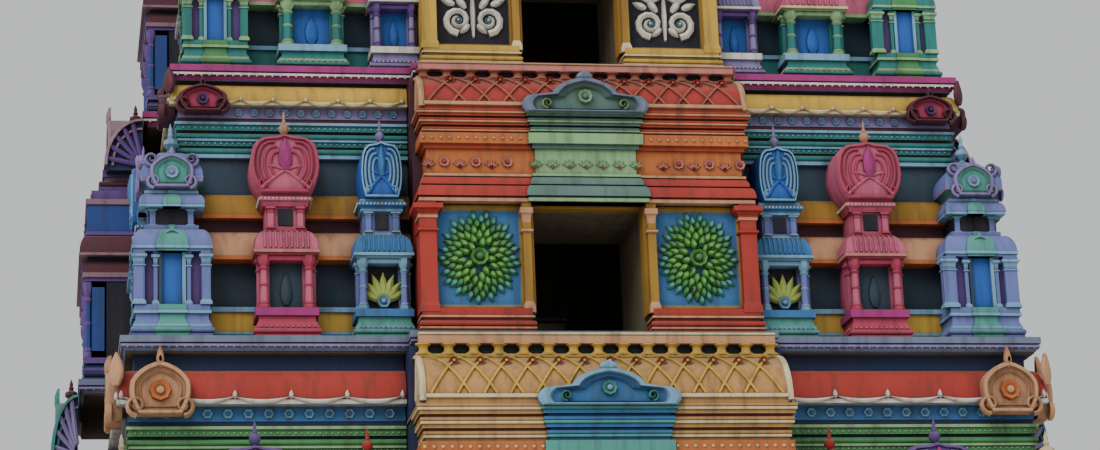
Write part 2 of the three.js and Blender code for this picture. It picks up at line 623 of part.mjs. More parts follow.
// Gate storey: plinths, flank masses, door frames, passage floor and ceiling, cornice
function gateStorey() {
  const stone = 0xa79f8f;
  const group = new THREE.Group();
  const { halfWidth, halfDepth, bayHalfWidth, bayStep, passageHalfWidth, wallInset, postHalf } = GATE;
  const plan = steppedRectangle(halfWidth, halfDepth, [bayHalfWidth, bayStep], [0, 0]);
  const outerFront = halfDepth + bayStep;
  const passage = solid(block(
    -passageHalfWidth - GAP, halfWidth * 2, -halfDepth * 2, halfDepth * 2, -10, GATE.corniceTop + 10,
  ));
  const top = GATE.plinthTop;
  const plinth = solid(courses(plan, [
    [0, 200], [260, 200], [300, 140], [520, 140], [620, 60], [760, 60], [820, 130], [960, 130],
    [1000, 60], [top, 60],
  ])).subtract(passage);
  const postFoot = top + GATE.postEnds;
  const postTop = GATE.wallTop - GATE.postEnds;
  const flankPosts = GATE.flankPostX.map((x) => (
    block(-x - postHalf, -x + postHalf, -halfDepth + 20, halfDepth - 20, postFoot, postTop)
  ));
  const endPosts = [-1, 1].flatMap((side) => GATE.endPostY.map((y) => block(
    -halfWidth + 20, -halfWidth + 300, side * y - postHalf, side * y + postHalf, postFoot, postTop,
  )));
  const niches = [-1, 1].map((side) => block(
    -GATE.nicheX - GATE.nicheHalf, -GATE.nicheX + GATE.nicheHalf,
    side * halfDepth - GATE.nicheDepth, side * halfDepth + GATE.nicheDepth,
    top + GATE.nicheFoot, top + GATE.nicheTop,
  ));
  const wallPlan = steppedRectangle(
    halfWidth - wallInset, halfDepth - wallInset, [bayHalfWidth - wallInset, bayStep], [0, 0],
  );
  const wallRing = solid(courses(wallPlan, [
    [top, 110], [top + 220, 110], [top + 220, 0], [GATE.wallTop - 220, 0],
    [GATE.wallTop - 220, 110], [GATE.wallTop, 110],
  ]));
  const flank = wallRing
    .add(join([...flankPosts, ...endPosts]))
    .subtract(join(niches))
    .subtract(passage);
  const cornice = solid(courses(plan, [
    [GATE.wallTop, 60], [GATE.wallTop + 200, 60], [GATE.wallTop + 200, 260],
    [GATE.wallTop + 380, 250], [GATE.wallTop + 620, 0], [GATE.corniceTop - 220, 0],
    [GATE.corniceTop - 220, 60], [GATE.corniceTop, 60],
  ]));
  const frameEdge = passageHalfWidth - GAP;
  const door = solid(block(
    -GATE.doorHalfWidth, GATE.doorHalfWidth, -halfDepth * 2, 0, GATE.floorTop - 10, GATE.doorTop,
  ));
  const doorFrame = join([
    block(
      -frameEdge, frameEdge, -outerFront, -outerFront + GATE.frameDepth, GATE.floorTop, GATE.passageTop,
    ),
    block(
      -GATE.doorHalfWidth - GATE.surround, GATE.doorHalfWidth + GATE.surround,
      -outerFront - GATE.surroundRelief, -outerFront + 100, GATE.floorTop, GATE.doorTop + GATE.surround,
    ),
  ]).subtract(door);
  const passageFloor = solid(block(
    -frameEdge, frameEdge, -outerFront - 100, outerFront + 100, 0, GATE.floorTop,
  ));
  const ceiling = solid(block(
    -frameEdge, frameEdge, -outerFront, outerFront, GATE.passageTop, GATE.wallTop,
  ));
  group.add(mesh('plinth_left', plinth, stone));
  group.add(mesh('gate_wall_left', flank, stone));
  const plinthRight = mesh('plinth_right', plinth, stone);
  const wallRight = mesh('gate_wall_right', flank, stone);
  plinthRight.rotation.z = Math.PI;
  wallRight.rotation.z = Math.PI;
  group.add(plinthRight, wallRight);
  group.add(mesh('passage_floor', passageFloor, stone));
  group.add(mesh('passage_ceiling', ceiling, stone));
  group.add(mesh('gate_frame_front', doorFrame, stone));
  const frameRear = mesh('gate_frame_rear', doorFrame, stone);
  frameRear.rotation.z = Math.PI;
  group.add(frameRear);
  group.add(mesh('gate_cornice', cornice, 0xb5aa94));
  return group;
}

// One storey: floor, two end walls, two central bays and four corner shrines
function storeyGroup(storey, above) {
  const group = new THREE.Group();
  group.position.z = storey.base;
  const planes = storeyPlanes(storey, above);
  const { name, colours } = storey;
  const ledge = ledgeEdges(storey);
  const ledgeX = storey.halfWidth + LEDGE_REACH;
  const ledgeY = storey.halfDepth + LEDGE_REACH;
  const floorPlan = steppedRectangle(
    ledgeX, ledgeY,
    [storey.bayHalfWidth + LEDGE_REACH, ledge.front - ledgeY],
    [END_BAY.half * storey.depthScale + LEDGE_REACH, ledge.end - ledgeX],
  );
  group.add(mesh(`${name}_floor`, floorSlab(floorPlan, storey.floor), colours.floor));
  const wall = endWall(storey, planes);
  const bay = centralBay(storey, planes);
  const shrine = cornerShrine(storey);
  const wallRight = mesh(`${name}_wall_right`, wall, colours.wall);
  wallRight.rotation.z = Math.PI;
  group.add(mesh(`${name}_wall_left`, wall, colours.wall), wallRight);
  const bayRear = mesh(`${name}_rear_bay`, bay, colours.bay);
  bayRear.rotation.z = Math.PI;
  group.add(mesh(`${name}_front_bay`, bay, colours.bay), bayRear);
  const corners = [['front_left', -1, -1, 0], ['front_right', 1, -1, QUARTER],
    ['rear_right', 1, 1, Math.PI], ['rear_left', -1, 1, -QUARTER]];
  corners.forEach(([corner, signX, signY, angle]) => {
    const piece = mesh(`${name}_corner_shrine_${corner}`, shrine, colours.shrine);
    piece.position.set(signX * planes.shrineX, signY * planes.shrineY, 0);
    piece.rotation.z = angle;
    group.add(piece);
  });
  return group;
}

// The outline of the barrel roof across the tower, at a given thickness in from its skin
function roofOutline(inset) {
  const { vaultHalfDepth, vaultRise } = ROOF;
  return horseshoe(0, 0, vaultHalfDepth * 0.86 - inset, vaultHalfDepth * 0.93 - inset, vaultRise - inset);
}

// Roof: floor, neck with a window on each long side, vault shell, gables and pots
function roofGroup() {
  const group = new THREE.Group();
  group.position.z = ROOF.base;
  const plaster = 0x4f9a8c;
  const floorPlan = rectangle(ROOF.halfWidth + LEDGE_REACH, ROOF.halfDepth + LEDGE_REACH);
  group.add(mesh('roof_floor', floorSlab(floorPlan, ROOF.floor), 0xa8457a));
  const window = solid(block(
    -ROOF.windowHalfWidth, ROOF.windowHalfWidth, -ROOF.halfDepth * 2, ROOF.halfDepth * 2,
    ROOF.windowBottom, ROOF.windowTop,
  ));
  const inner = solid(block(
    -(ROOF.neckHalfWidth - ROOF.neckWall), ROOF.neckHalfWidth - ROOF.neckWall,
    -(ROOF.neckHalfDepth - ROOF.neckWall), ROOF.neckHalfDepth - ROOF.neckWall, -10, ROOF.neckTop + 10,
  ));
  const neck = solid(courses(rectangle(ROOF.neckHalfWidth, ROOF.neckHalfDepth), [
    [0, 60], [160, 60], [160, 0], [ROOF.neckTop - 220, 0], [ROOF.neckTop - 180, 60],
    [ROOF.neckTop - 120, 60], [ROOF.neckTop - 100, 150], [ROOF.neckTop, 150],
  ])).subtract(inner).subtract(window);
  group.add(mesh('roof_neck', neck, 0x8d5f86));
  const length = ROOF.vaultHalfLength * 2;
  const skin = solid(new THREE.ExtrudeGeometry(
    roofOutline(0), { depth: length, bevelEnabled: false, curveSegments: 7 },
  ).rotateX(QUARTER).rotateZ(QUARTER));
  const hollow = solid(new THREE.ExtrudeGeometry(
    roofOutline(ROOF.vaultWall), { depth: length + 200, bevelEnabled: false, curveSegments: 7 },
  ).rotateX(QUARTER).rotateZ(QUARTER).translate(-100, 0, -1));
  const ridge = solid(block(
    0, length, -ROOF.ridgeHalfWidth, ROOF.ridgeHalfWidth, ROOF.vaultRise - 150, ROOF.ridgeTop,
  ));
  const shell = skin.add(ridge).subtract(hollow);
  const vault = mesh('roof_vault', shell, plaster);
  vault.position.set(-ROOF.vaultHalfLength, 0, ROOF.neckTop);
  group.add(vault);
  const gableShape = join([
    frontPlate(horseshoe(0, 0, ROOF.vaultHalfDepth * 0.86, ROOF.vaultHalfDepth, ROOF.gableRise), 0,
      ROOF.gableDepth, 7),
    frontPlate(horseshoe(0, 200, 420, 620, 1050), -90, 200, 4),
  ]);
  ['left', 'right'].forEach((side, i) => {
    const gable = mesh(`roof_gable_${side}`, gableShape, 0xc08a3e);
    const sign = i === 0 ? -1 : 1;
    gable.rotation.z = sign * QUARTER;
    gable.position.set(sign * (ROOF.vaultHalfLength + ROOF.gableDepth + GAP), 0, ROOF.neckTop);
    group.add(gable);
  });
  const pot = solid(turnedShape([
    [0, 0], [160, 0], [160, 60], [90, 150], [260, 350], [250, 490], [90, 610], [130, 680],
    [60, 760], [85, 850], [0, ROOF.potHeight],
  ], 8, 0, 0, 0));
  for (let i = 0; i < ROOF.potCount; i += 1) {
    const kalasam = mesh(`kalasam_${i + 1}`, pot, 0xb98a3a, 0.4, 0.9);
    kalasam.position.set((i - (ROOF.potCount - 1) / 2) * ROOF.potPitch, 0, ROOF.neckTop + ROOF.ridgeTop);
    group.add(kalasam);
  }
  return group;
}

const gopuram = new THREE.Group();
gopuram.add(gateStorey());
STOREYS.forEach((storey, i) => gopuram.add(storeyGroup(storey, STOREYS[i + 1] ?? ROOF)));
gopuram.add(roofGroup());

export default gopuram;
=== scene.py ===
"""Gopuram: a painted temple gateway tower.

A granite gate storey carries three plastered storeys of small shrines and a barrel roof with
five pot finials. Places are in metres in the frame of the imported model: +Z up, the street
front towards -Y, the ground at Z = 0.
"""
import sys
import logging
from dataclasses import dataclass
from enum import Enum
from math import cos, pi, radians, sin

import bpy
import numpy as np
from mathutils import Matrix, Vector


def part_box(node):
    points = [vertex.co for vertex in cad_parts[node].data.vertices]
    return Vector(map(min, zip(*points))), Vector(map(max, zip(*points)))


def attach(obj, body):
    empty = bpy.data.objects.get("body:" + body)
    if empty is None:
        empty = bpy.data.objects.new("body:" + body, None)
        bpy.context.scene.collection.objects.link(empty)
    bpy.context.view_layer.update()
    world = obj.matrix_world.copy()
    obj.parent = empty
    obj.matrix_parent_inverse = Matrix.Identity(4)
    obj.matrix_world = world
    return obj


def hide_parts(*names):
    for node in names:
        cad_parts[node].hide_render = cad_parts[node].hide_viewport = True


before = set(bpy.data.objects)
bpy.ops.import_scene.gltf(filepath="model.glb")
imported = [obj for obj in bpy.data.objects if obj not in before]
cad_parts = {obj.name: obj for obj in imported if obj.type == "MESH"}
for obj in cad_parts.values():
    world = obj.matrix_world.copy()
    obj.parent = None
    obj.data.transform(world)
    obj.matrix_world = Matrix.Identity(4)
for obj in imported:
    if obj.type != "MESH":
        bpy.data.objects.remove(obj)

Array = np.ndarray
Colour = tuple[float, float, float, float]
Node = bpy.types.Node
Socket = bpy.types.NodeSocket
Tree = bpy.types.NodeTree
LOG = logging.getLogger("gopuram")
QUARTER = pi / 2


# Finishes

def linear(hex_colour: str) -> Colour:
    """Turns an sRGB hex colour into the linear colour that a shader socket holds.

    Each channel c becomes c / 12.92 up to 0.04045 and ((c + 0.055) / 1.055) ** 2.4 above.

    Args:
        hex_colour: six hex digits, without a mark in front.

    Returns:
        Linear red, green and blue, and an alpha of 1.
    """
    srgb = np.array([int(hex_colour[i:i + 2], 16) for i in (0, 2, 4)]) / 255
    light = np.where(srgb <= 0.04045, srgb / 12.92, ((srgb + 0.055) / 1.055) ** 2.4)
    return (*light.tolist(), 1.0)


def shade(hex_colour: str, factor: float) -> Colour:
    """The linear colour of a hex colour, made lighter or darker by a factor."""
    return (*[min(1.0, channel * factor) for channel in linear(hex_colour)[:3]], 1.0)


def add_node(tree: Tree, kind: str, settings: dict | None = None, links: dict | None = None) -> Node:
    """Adds a shader node with its settings and links.

    Args:
        tree: the material's node tree.
        kind: the node's type name after "ShaderNode".
        settings: values, by property name in lower case or by socket name or number.
        links: output sockets of other nodes, by the name or number of the input they feed.

    Returns:
        The new node.
    """
    node = tree.nodes.new("ShaderNode" + kind)
    for key, value in (settings or {}).items():
        if isinstance(key, str) and key[0].islower():
            setattr(node, key, value)
        else:
            node.inputs[key].default_value = value
    for socket, source in (links or {}).items():
        tree.links.new(source, node.inputs[socket])
    return node


def stained_and_shaded(tree: Tree, tone: Node, layers: list[tuple]) -> Node:
    """Lays stains and painted shade over a colour, one on another.

    Args:
        tree: the material's node tree.
        tone: the node that mixes the bare colour.
        layers: (mask, low, high, share at low, share at high, layer_colour) for each, the lowest first.

    Returns:
        The node that mixes the last layer in.
    """
    for mask, low, high, first, last, layer_colour in layers:
        share = add_node(tree, "MapRange", {1: low, 2: high, 3: first, 4: last}, {0: mask})
        sockets = {0: share.outputs[0], 6: tone.outputs[2]}
        tone = add_node(tree, "Mix", {"data_type": "RGBA", 7: layer_colour}, sockets)
    return tone


@dataclass(frozen=True)
class Finish:
    """A finish of the tower, with the Blender material that shows it."""

    name: str
    colour: str

    @property
    def label(self) -> str:
        """The material's name."""
        return self.name

    def dress(self, tree: Tree, place: Socket) -> tuple[dict, dict]:
        """Adds the finish's nodes and gives the shader's settings and links. Each kind has its own."""
        raise NotImplementedError

    def tones(self, dark: float, light: float) -> dict:
        """Settings of a node that mixes the finish's colour from a darker and a lighter one."""
        return {"data_type": "RGBA", 6: shade(self.colour, dark), 7: shade(self.colour, light)}

    def material(self) -> bpy.types.Material:
        """The finish's material, made once and then shared by every piece.

        Returns:
            The material, its patterns laid out by Object coordinates.
        """
        made = bpy.data.materials.get(self.label)
        if made is None:
            made = bpy.data.materials.new(self.label)
            made.use_nodes = True
            tree = made.node_tree
            tree.nodes.clear()
            place = add_node(tree, "TexCoord").outputs["Object"]
            shader = add_node(tree, "BsdfPrincipled", *self.dress(tree, place))
            add_node(tree, "OutputMaterial", None, {"Surface": shader.outputs[0]})
        return made


@dataclass(frozen=True)
class Enamel(Finish):
    """Enamel paint brushed on lime and cement plaster, some monsoons old.

    It gives a flat, slightly chalky colour that goes uneven in patches, with soot
    run down by the rain, dust on what faces up and painted shade darkening the corners.
    """

    roughness: float = 0.62
    soot: float = 0.5

    PATCH_M = 0.7           # width of an uneven patch of paint
    STREAK_M = 0.09         # width of a run of rain, nine times as long
    GRAIN_M = 0.022         # trowel and brush marks, drawn coarser than real so that they show
    CORNER_SHADE_M = 0.16         # how far the painted shade reaches out of a corner

    @property
    def label(self) -> str:
        """The material's name, from the paint's colour."""
        return f"{self.name} enamel, brushed"

    def dress(self, tree: Tree, place: Socket) -> tuple[dict, dict]:
        """Adds worn paint over plaster.

        Args:
            tree: the material's node tree.
            place: Object coordinates.

        Returns:
            Settings and links of the shader.
        """
        patches = add_node(tree, "TexNoise", {"Scale": 1 / self.PATCH_M, "Detail": 5.0}, {"Vector": place})
        grain = add_node(tree, "TexNoise", {"Scale": 1 / self.GRAIN_M, "Detail": 3.0}, {"Vector": place})
        across = 1 / self.STREAK_M
        fall = add_node(tree, "Mapping", {"Scale": (across, across, across / 9)}, {"Vector": place})
        runs = add_node(tree, "TexNoise", {"Scale": 1.0, "Detail": 4.0}, {"Vector": fall.outputs[0]})
        # painted shade: ambient occlusion finds the corners and creases
        corner = add_node(tree, "AmbientOcclusion", {"samples": 4, "Distance": self.CORNER_SHADE_M})
        facing = add_node(tree, "SeparateXYZ", None, {0: add_node(tree, "NewGeometry").outputs["Normal"]})
        bare = add_node(tree, "Mix", self.tones(0.66, 1.28), {0: patches.outputs["Fac"]})
        # the paint with its soot and dust, and painted shade darkening the corners
        worn = stained_and_shaded(tree, bare, [
            (runs.outputs["Fac"], 0.48, 0.75, 0.0, self.soot, linear("3B3833")),
            # painted shade: the colour drops to 0.16 of itself deep in a corner
            (corner.outputs["AO"], 0.35, 0.95, 0.72, 0.0, shade(self.colour, 0.16)),
            (facing.outputs["Z"], 0.55, 1.0, 0.0, 0.4, linear("8C8577")),
        ])
        marks = grain.outputs["Fac"]
        ends = {1: 0.3, 2: 0.7, 3: self.roughness - 0.12, 4: self.roughness + 0.14}
        rough = add_node(tree, "MapRange", ends, {0: marks})
        bump = add_node(tree, "Bump", {"Strength": 0.35, "Distance": 0.006}, {"Height": marks})
        links = {"Base Color": worn.outputs[2], "Roughness": rough.outputs[0], "Normal": bump.outputs[0]}
        return {"Specular IOR Level": 0.35}, links


@dataclass(frozen=True)
class Limewash(Enamel):
    """Limewash brushed on stone or plaster. It gives a chalky, matt colour with more soot on it."""

    roughness: float = 0.85
    soot: float = 0.6

    @property
    def label(self) -> str:
        """The material's name."""
        return self.name


@dataclass(frozen=True)
class Granite(Finish):
    """Granite, dressed with a point chisel and left bare.

    It gives a grey-brown speckle, small pits from the chisel, dark
    lichen where water stands, and painted shade darkening its corners.
    """

    SPECKLE_M = 0.03        # crystals, drawn about ten times coarser than real so that they show
    LICHEN_M = 0.5
    # how far the painted shade reaches out of a corner
    CORNER_SHADE_M = 0.2

    def dress(self, tree: Tree, place: Socket) -> tuple[dict, dict]:
        """Adds speckled, pitted and stained stone.

        Args:
            tree: the material's node tree.
            place: Object coordinates.

        Returns:
            Settings and links of the shader.
        """
        fine = 1 / self.SPECKLE_M
        speckle = add_node(tree, "TexVoronoi", {"Scale": fine}, {"Vector": place})
        spread = add_node(tree, "SeparateColor", None, {0: speckle.outputs["Color"]})
        lichen = add_node(tree, "TexNoise", {"Scale": 1 / self.LICHEN_M, "Detail": 6.0}, {"Vector": place})
        # painted shade: ambient occlusion finds the corners
        corner = add_node(tree, "AmbientOcclusion", {"samples": 4, "Distance": self.CORNER_SHADE_M})
        bare = add_node(tree, "Mix", self.tones(0.62, 1.25), {0: spread.outputs[0]})
        # the stone with its lichen, and painted shade darkening the corners
        worn = stained_and_shaded(tree, bare, [
            (lichen.outputs["Fac"], 0.5, 0.72, 0.0, 0.6, linear("47443C")),
            # painted shade: nearly black 2C2A26 deep in a corner
            (corner.outputs["AO"], 0.35, 0.95, 0.7, 0.0, linear("2C2A26")),
        ])
        pits = add_node(tree, "TexNoise", {"Scale": fine, "Detail": 6.0}, {"Vector": place})
        bump = add_node(tree, "Bump", {"Strength": 0.6, "Distance": 0.008}, {"Height": pits.outputs["Fac"]})
        links = {"Base Color": worn.outputs[2], "Normal": bump.outputs[0]}
        return {"Specular IOR Level": 0.3, "Roughness": 0.85}, links


@dataclass(frozen=True)
class SpunBrass(Finish):
    """Brass, spun and soldered, gone dull in the open.

    It gives a warm metal shine broken by brown patches of tarnish.
    """

    TARNISH_M = 0.12

    def dress(self, tree: Tree, place: Socket) -> tuple[dict, dict]:
        """Adds tarnished brass.

        Args:
            tree: the material's node tree.
            place: Object coordinates.

        Returns:
            Settings and links of the shader.
        """
        dull = add_node(tree, "TexNoise", {"Scale": 1 / self.TARNISH_M, "Detail": 5.0}, {"Vector": place})
        tarnish = dull.outputs["Fac"]
        colour = add_node(tree, "Mix", self.tones(0.4, 1.1), {0: tarnish})
        rough = add_node(tree, "MapRange", {1: 0.3, 2: 0.7, 3: 0.55, 4: 0.25}, {0: tarnish})
        bump = add_node(tree, "Bump", {"Strength": 0.1, "Distance": 0.003}, {"Height": tarnish})
        links = {"Base Color": colour.outputs[2], "Roughness": rough.outputs[0], "Normal": bump.outputs[0]}
        return {"Metallic": 1.0}, links


@dataclass(frozen=True)
class StudioPaper(Finish):
    """Seamless paper, rolled out flat. It gives a pale matt ground with a faint cloudiness."""

    def dress(self, tree: Tree, place: Socket) -> tuple[dict, dict]:
        """Adds matt paper.

        Args:
            tree: the material's node tree.
            place: Object coordinates.

        Returns:
            Settings and links of the shader.
        """
        cloud = add_node(tree, "TexNoise", {"Scale": 0.2, "Detail": 2.0}, {"Vector": place})
        colour = add_node(tree, "Mix", self.tones(0.95, 1.03), {0: cloud.outputs["Fac"]})
        return {"Roughness": 0.9}, {"Base Color": colour.outputs[2]}


class Coat(Enum):
    """The painters' coats and the two bare materials of the tower."""

    TEAL = Enamel("teal", "2F807B")
    DEEP_TEAL = Enamel("deep teal", "1B4E52")
    GREEN = Enamel("green", "4F8F55")
    BRIGHT_GREEN = Enamel("bright green", "6DB355")
    PALE_GREEN = Enamel("pale green", "93BC86")
    DARK_GREEN = Enamel("dark green", "244A38")
    GREY_GREEN = Enamel("grey green", "63837A")
    OLIVE = Enamel("olive", "77733F")
    LEAF = Enamel("yellow green", "A8B95A")
    OCHRE = Enamel("ochre", "A87E2E")
    YELLOW = Enamel("yellow", "D2A945")
    CREAM = Enamel("cream", "E0CDA0")
    WHITE = Enamel("white", "E6E0D2")
    ORANGE = Enamel("orange", "C8713A")
    PEACH = Enamel("peach", "CF9A72")
    TERRACOTTA = Enamel("terracotta", "A65C48")
    RED = Enamel("red", "B03A30")
    ROSE = Enamel("rose", "BF4460")
    PINK = Enamel("pink", "CC6480")
    SALMON = Enamel("salmon", "CB8478")
    MAGENTA = Enamel("magenta", "A8357A")
    MAROON = Enamel("maroon", "5A2A36")
    MAUVE = Enamel("mauve", "96727E")
    PURPLE = Enamel("purple", "6B4C92")
    LAVENDER = Enamel("lavender", "8F82B4")
    DEEP_BLUE = Enamel("deep blue", "2B4A8C")
    BLUE = Enamel("blue", "3D77AE")
    SKY = Enamel("sky blue", "7FAECB")
    BLUE_GREY = Enamel("blue grey", "747F97")
    AZURE = Enamel("bright blue", "2A66BC")
    PERIWINKLE = Enamel("periwinkle", "707CBA")
    AQUA = Enamel("aqua green", "55A093")
    SAND = Enamel("sand", "C39258")
    NAVY = Enamel("navy blue", "26345A")
    SLATE = Enamel("slate blue", "2F4453")
    VERMILION = Enamel("vermilion", "C04E30")
    NIGHT = Enamel("black violet", "1D1B2B")
    LIMEWASH = Limewash("limewash, brushed on stone", "BFB496")
    UMBER = Limewash("umber limewash, brushed on plaster", "71654F")
    GRANITE = Granite("granite, point dressed", "8D8474")
    BRASS = SpunBrass("brass, spun", "C79A4B")


def coats(names: str) -> tuple[Coat, ...]:
    """The coats of a line of names."""
    return tuple(Coat[name] for name in names.split())


# Surfaces

def xyz(x: Array | float, y: Array | float, z: Array | float) -> Array:
    """Points from their three coordinates, each an array or one number for all."""
    return np.stack(np.broadcast_arrays(x, y, z), axis=-1).astype(float)


@dataclass
class Patch:
    """A surface in one coat: points (n, 3) and faces (m, corners of each) as numpy arrays."""

    points: Array
    faces: Array
    coat: Coat


class Shape:
    """Closed surfaces that are placed and repeated together."""

    def __init__(self, *parts: "Patch | Shape") -> None:
        """Gathers patches and the patches of other shapes."""
        self.patches: list[Patch] = []
        for part in parts:
            self.patches.extend(part.patches if isinstance(part, Shape) else [part])

    def repeated(self, places: Array, turns: Array | float = 0.0, tilts: Array | float = 0.0,
                 sizes: Array | float = 1.0) -> "Shape":
        """Copies the shape to many places at once.

        P' = place + turn about Z of (tilt in the XZ plane of (size * P)).

        Args:
            places: where each copy's origin goes, (n, 3) or (3,).
            turns: angle of each copy about Z.
            tilts: angle of each copy in its own XZ plane, counter-clockwise from the front.
            sizes: a number, three numbers, or (n, 1) or (n, 3) of them.

        Returns:
            One shape with all the copies.
        """
        spots = np.atleast_2d(np.asarray(places, float))
        count = len(spots)
        turn, tilt = np.broadcast_to(turns, count), np.broadcast_to(tilts, count)
        size = np.broadcast_to(np.asarray(sizes, float), (count, 3))
        matrix = np.stack([
            xyz(np.cos(turn) * np.cos(tilt), -np.sin(turn), -np.cos(turn) * np.sin(tilt)),
            xyz(np.sin(turn) * np.cos(tilt), np.cos(turn), -np.sin(turn) * np.sin(tilt)),
            xyz(np.sin(tilt), 0.0, np.cos(tilt)),
        ], axis=1) * size[:, None, :]
        copies = Shape()
        for patch in self.patches:
            points = np.einsum("nij,pj->npi", matrix, patch.points) + spots[:, None, :]
            faces = patch.faces[None] + (np.arange(count) * len(patch.points))[:, None, None]
            faces = faces.reshape(-1, patch.faces.shape[1])
            copies.patches.append(Patch(points.reshape(-1, 3), faces, patch.coat))
        return copies

    def along(self, path: Array, out: float, height: float, pitch: float, closed: bool = True,
              margin: float = 0.0) -> "Shape":
        """The shape in ranks along each side of a plan path."""
        return self.repeated(*ranks(path, out, height, pitch, closed, margin))

    def placed(self, x: float = 0.0, y: float = 0.0, z: float = 0.0, turn: float = 0.0,
               size: float | tuple = 1.0, tilt: float = 0.0) -> "Shape":
        """One copy of the shape at (x, y, z)."""
        return self.repeated((x, y, z), turn, tilt, size)

    def both_sides(self) -> "Shape":
        """The shape and its mirror image in X, whose faces are turned round to point out."""
        return Shape(self, *[Patch(p.points * (-1, 1, 1), p.faces[:, ::-1], p.coat) for p in self.patches])

    def both_fronts(self) -> "Shape":
        """The shape and a copy turned half round the tower's axis."""
        return Shape(self, self.placed(turn=pi))

    def triangles(self) -> int:
        """How many triangles the shape has."""
        return sum(len(patch.faces) * (patch.faces.shape[1] - 2) for patch in self.patches)


def sheet(points: Array, coat: Coat, wrap: bool = False) -> Patch:
    """Faces over a grid of points.

    Each face joins (i, j), (i, j + 1), (i + 1, j + 1) and (i + 1, j), so it faces
    along (way of j) x (way of i).

    Args:
        points: grid (rows, columns, 3).
        coat: its coat.
        wrap: whether the last column joins the first.

    Returns:
        The patch.
    """
    rows, columns = points.shape[:2]
    number = np.arange(rows * columns).reshape(rows, columns)
    if wrap:
        number = np.concatenate([number, number[:, :1]], axis=1)
    faces = np.stack([number[:-1, :-1], number[:-1, 1:], number[1:, 1:], number[1:, :-1]], axis=-1)
    return Patch(points.reshape(-1, 3), faces.reshape(-1, 4), coat)


def lid(ring: Array, coat: Coat, back: bool = False) -> Patch:
    """One flat face over a ring of points, turned round for the back of a shape."""
    order = np.arange(len(ring))[None]
    return Patch(ring, order[:, ::-1] if back else order, coat)


def pole(ring: Array, tip: Array, coat: Coat, back: bool = False) -> Patch:
    """Triangles from a ring of points to a tip.

    Args:
        ring: points (n, 3).
        tip: the point in the middle.
        coat: the coat.
        back: whether the faces are turned round, for the back of a shape.

    Returns:
        The patch.
    """
    here = np.arange(len(ring))
    faces = np.stack([here, (here + 1) % len(ring), np.full_like(here, len(ring))], axis=-1)
    return Patch(np.vstack([ring, tip]), faces[:, ::-1] if back else faces, coat)


def strips(rows: Array, steps: list[Coat], wrap: bool) -> list[Patch]:
    """Cuts a grid of points into one sheet for each run of rows in the same coat.

    Args:
        rows: grid (rows, columns, 3).
        steps: the coat between each row and the next.
        wrap: whether the last column joins the first.

    Returns:
        The patches.
    """
    changes = [i for i in range(1, len(steps)) if steps[i] is not steps[i - 1]]
    cuts = [0, *changes, len(steps)]
    return [sheet(rows[a:b + 1], steps[a], wrap) for a, b in zip(cuts, cuts[1:])]


def turned(profile: Array, steps: list[Coat] | Coat, segments: int = 8) -> Shape:
    """A shape turned about Z.

    P(i, a) = (r_i cos a, r_i sin a, z_i) over the profile's points (r, z), from the
    lowest up. An end on the axis closes in a pole and any other in a flat lid.

    Args:
        profile: (radius, height) points.
        steps: one coat, or one for each step of the profile.
        segments: how many sides it has.

    Returns:
        The closed shape.
    """
    radius, height = profile.T[:, :, None]
    angle = (np.arange(segments) + 0.5) * 2 * pi / segments
    rows = xyz(radius * np.cos(angle), radius * np.sin(angle), height)
    steps = steps if isinstance(steps, list) else [steps] * (len(profile) - 1)
    first = 1 if radius[0] == 0 else 0
    last = len(rows) - 1 if radius[-1] == 0 else len(rows)
    foot = pole(rows[1], rows[0, 0], steps[0], True) if first else lid(rows[0], steps[0], True)
    head = pole(rows[-2], rows[-1, 0], steps[-1]) if last < len(rows) else lid(rows[-1], steps[-1])
    return Shape(*strips(rows[first:last], steps[first:last - 1], True), foot, head)


class Moulding(Enum):
    """The profiles that a course of plaster is run in."""

    FLAT = "flat"
    ROUND = "round"
    ROLL = "roll"
    COVE = "cove"
    WAVE = "wave"


FLAT, ROUND, ROLL, COVE, WAVE = Moulding
CURVE_STEPS = 5


@dataclass(frozen=True)
class Course:
    """One course of a stack: its moulding, its height, and how far it stands out at foot and head."""

    kind: Moulding
    rise: float
    foot: float
    head: float
    coat: Coat

    @classmethod
    def read(cls, kind: Moulding, rise: float, foot: float, *rest: float | Coat) -> "Course":
        """The course of a stack's row, in which the head is left out where it is as the foot."""
        return cls(kind, rise, foot, *(rest if len(rest) == 2 else (foot, *rest)))

    def curve(self) -> Array:
        """The (out, height) points of the course, from its foot up.

        With t from 0 to 1, a flat goes straight, a round adds half a circle, a wave is half
        a cosine, and a roll and a cove are quarter ellipses, drawn in and spread out.

        Returns:
            Points (n, 2), with the height counted from the course's foot.
        """
        t = np.linspace(0, 1, 2 if self.kind is FLAT else CURVE_STEPS + 1)
        across, up, bulge = t, t, 0.0
        if self.kind is ROUND:
            up, bulge = (1 - np.cos(pi * t)) / 2, self.rise / 2 * np.sin(pi * t)
        elif self.kind is WAVE:
            across = (1 - np.cos(pi * t)) / 2
        elif self.kind is not FLAT:
            across, up = 1 - np.cos(QUARTER * t), np.sin(QUARTER * t)
        return np.stack([self.foot + (self.head - self.foot) * across + bulge, self.rise * up], axis=-1)


def courses(rows: list[tuple], scale: float = 1.0, coat: Coat | None = None) -> list[tuple]:
    """Rows of a stack with their rises scaled, and a coat added where they have none."""
    return [(kind, rise * scale, *rest, *([coat] if coat else [])) for kind, rise, *rest in rows]


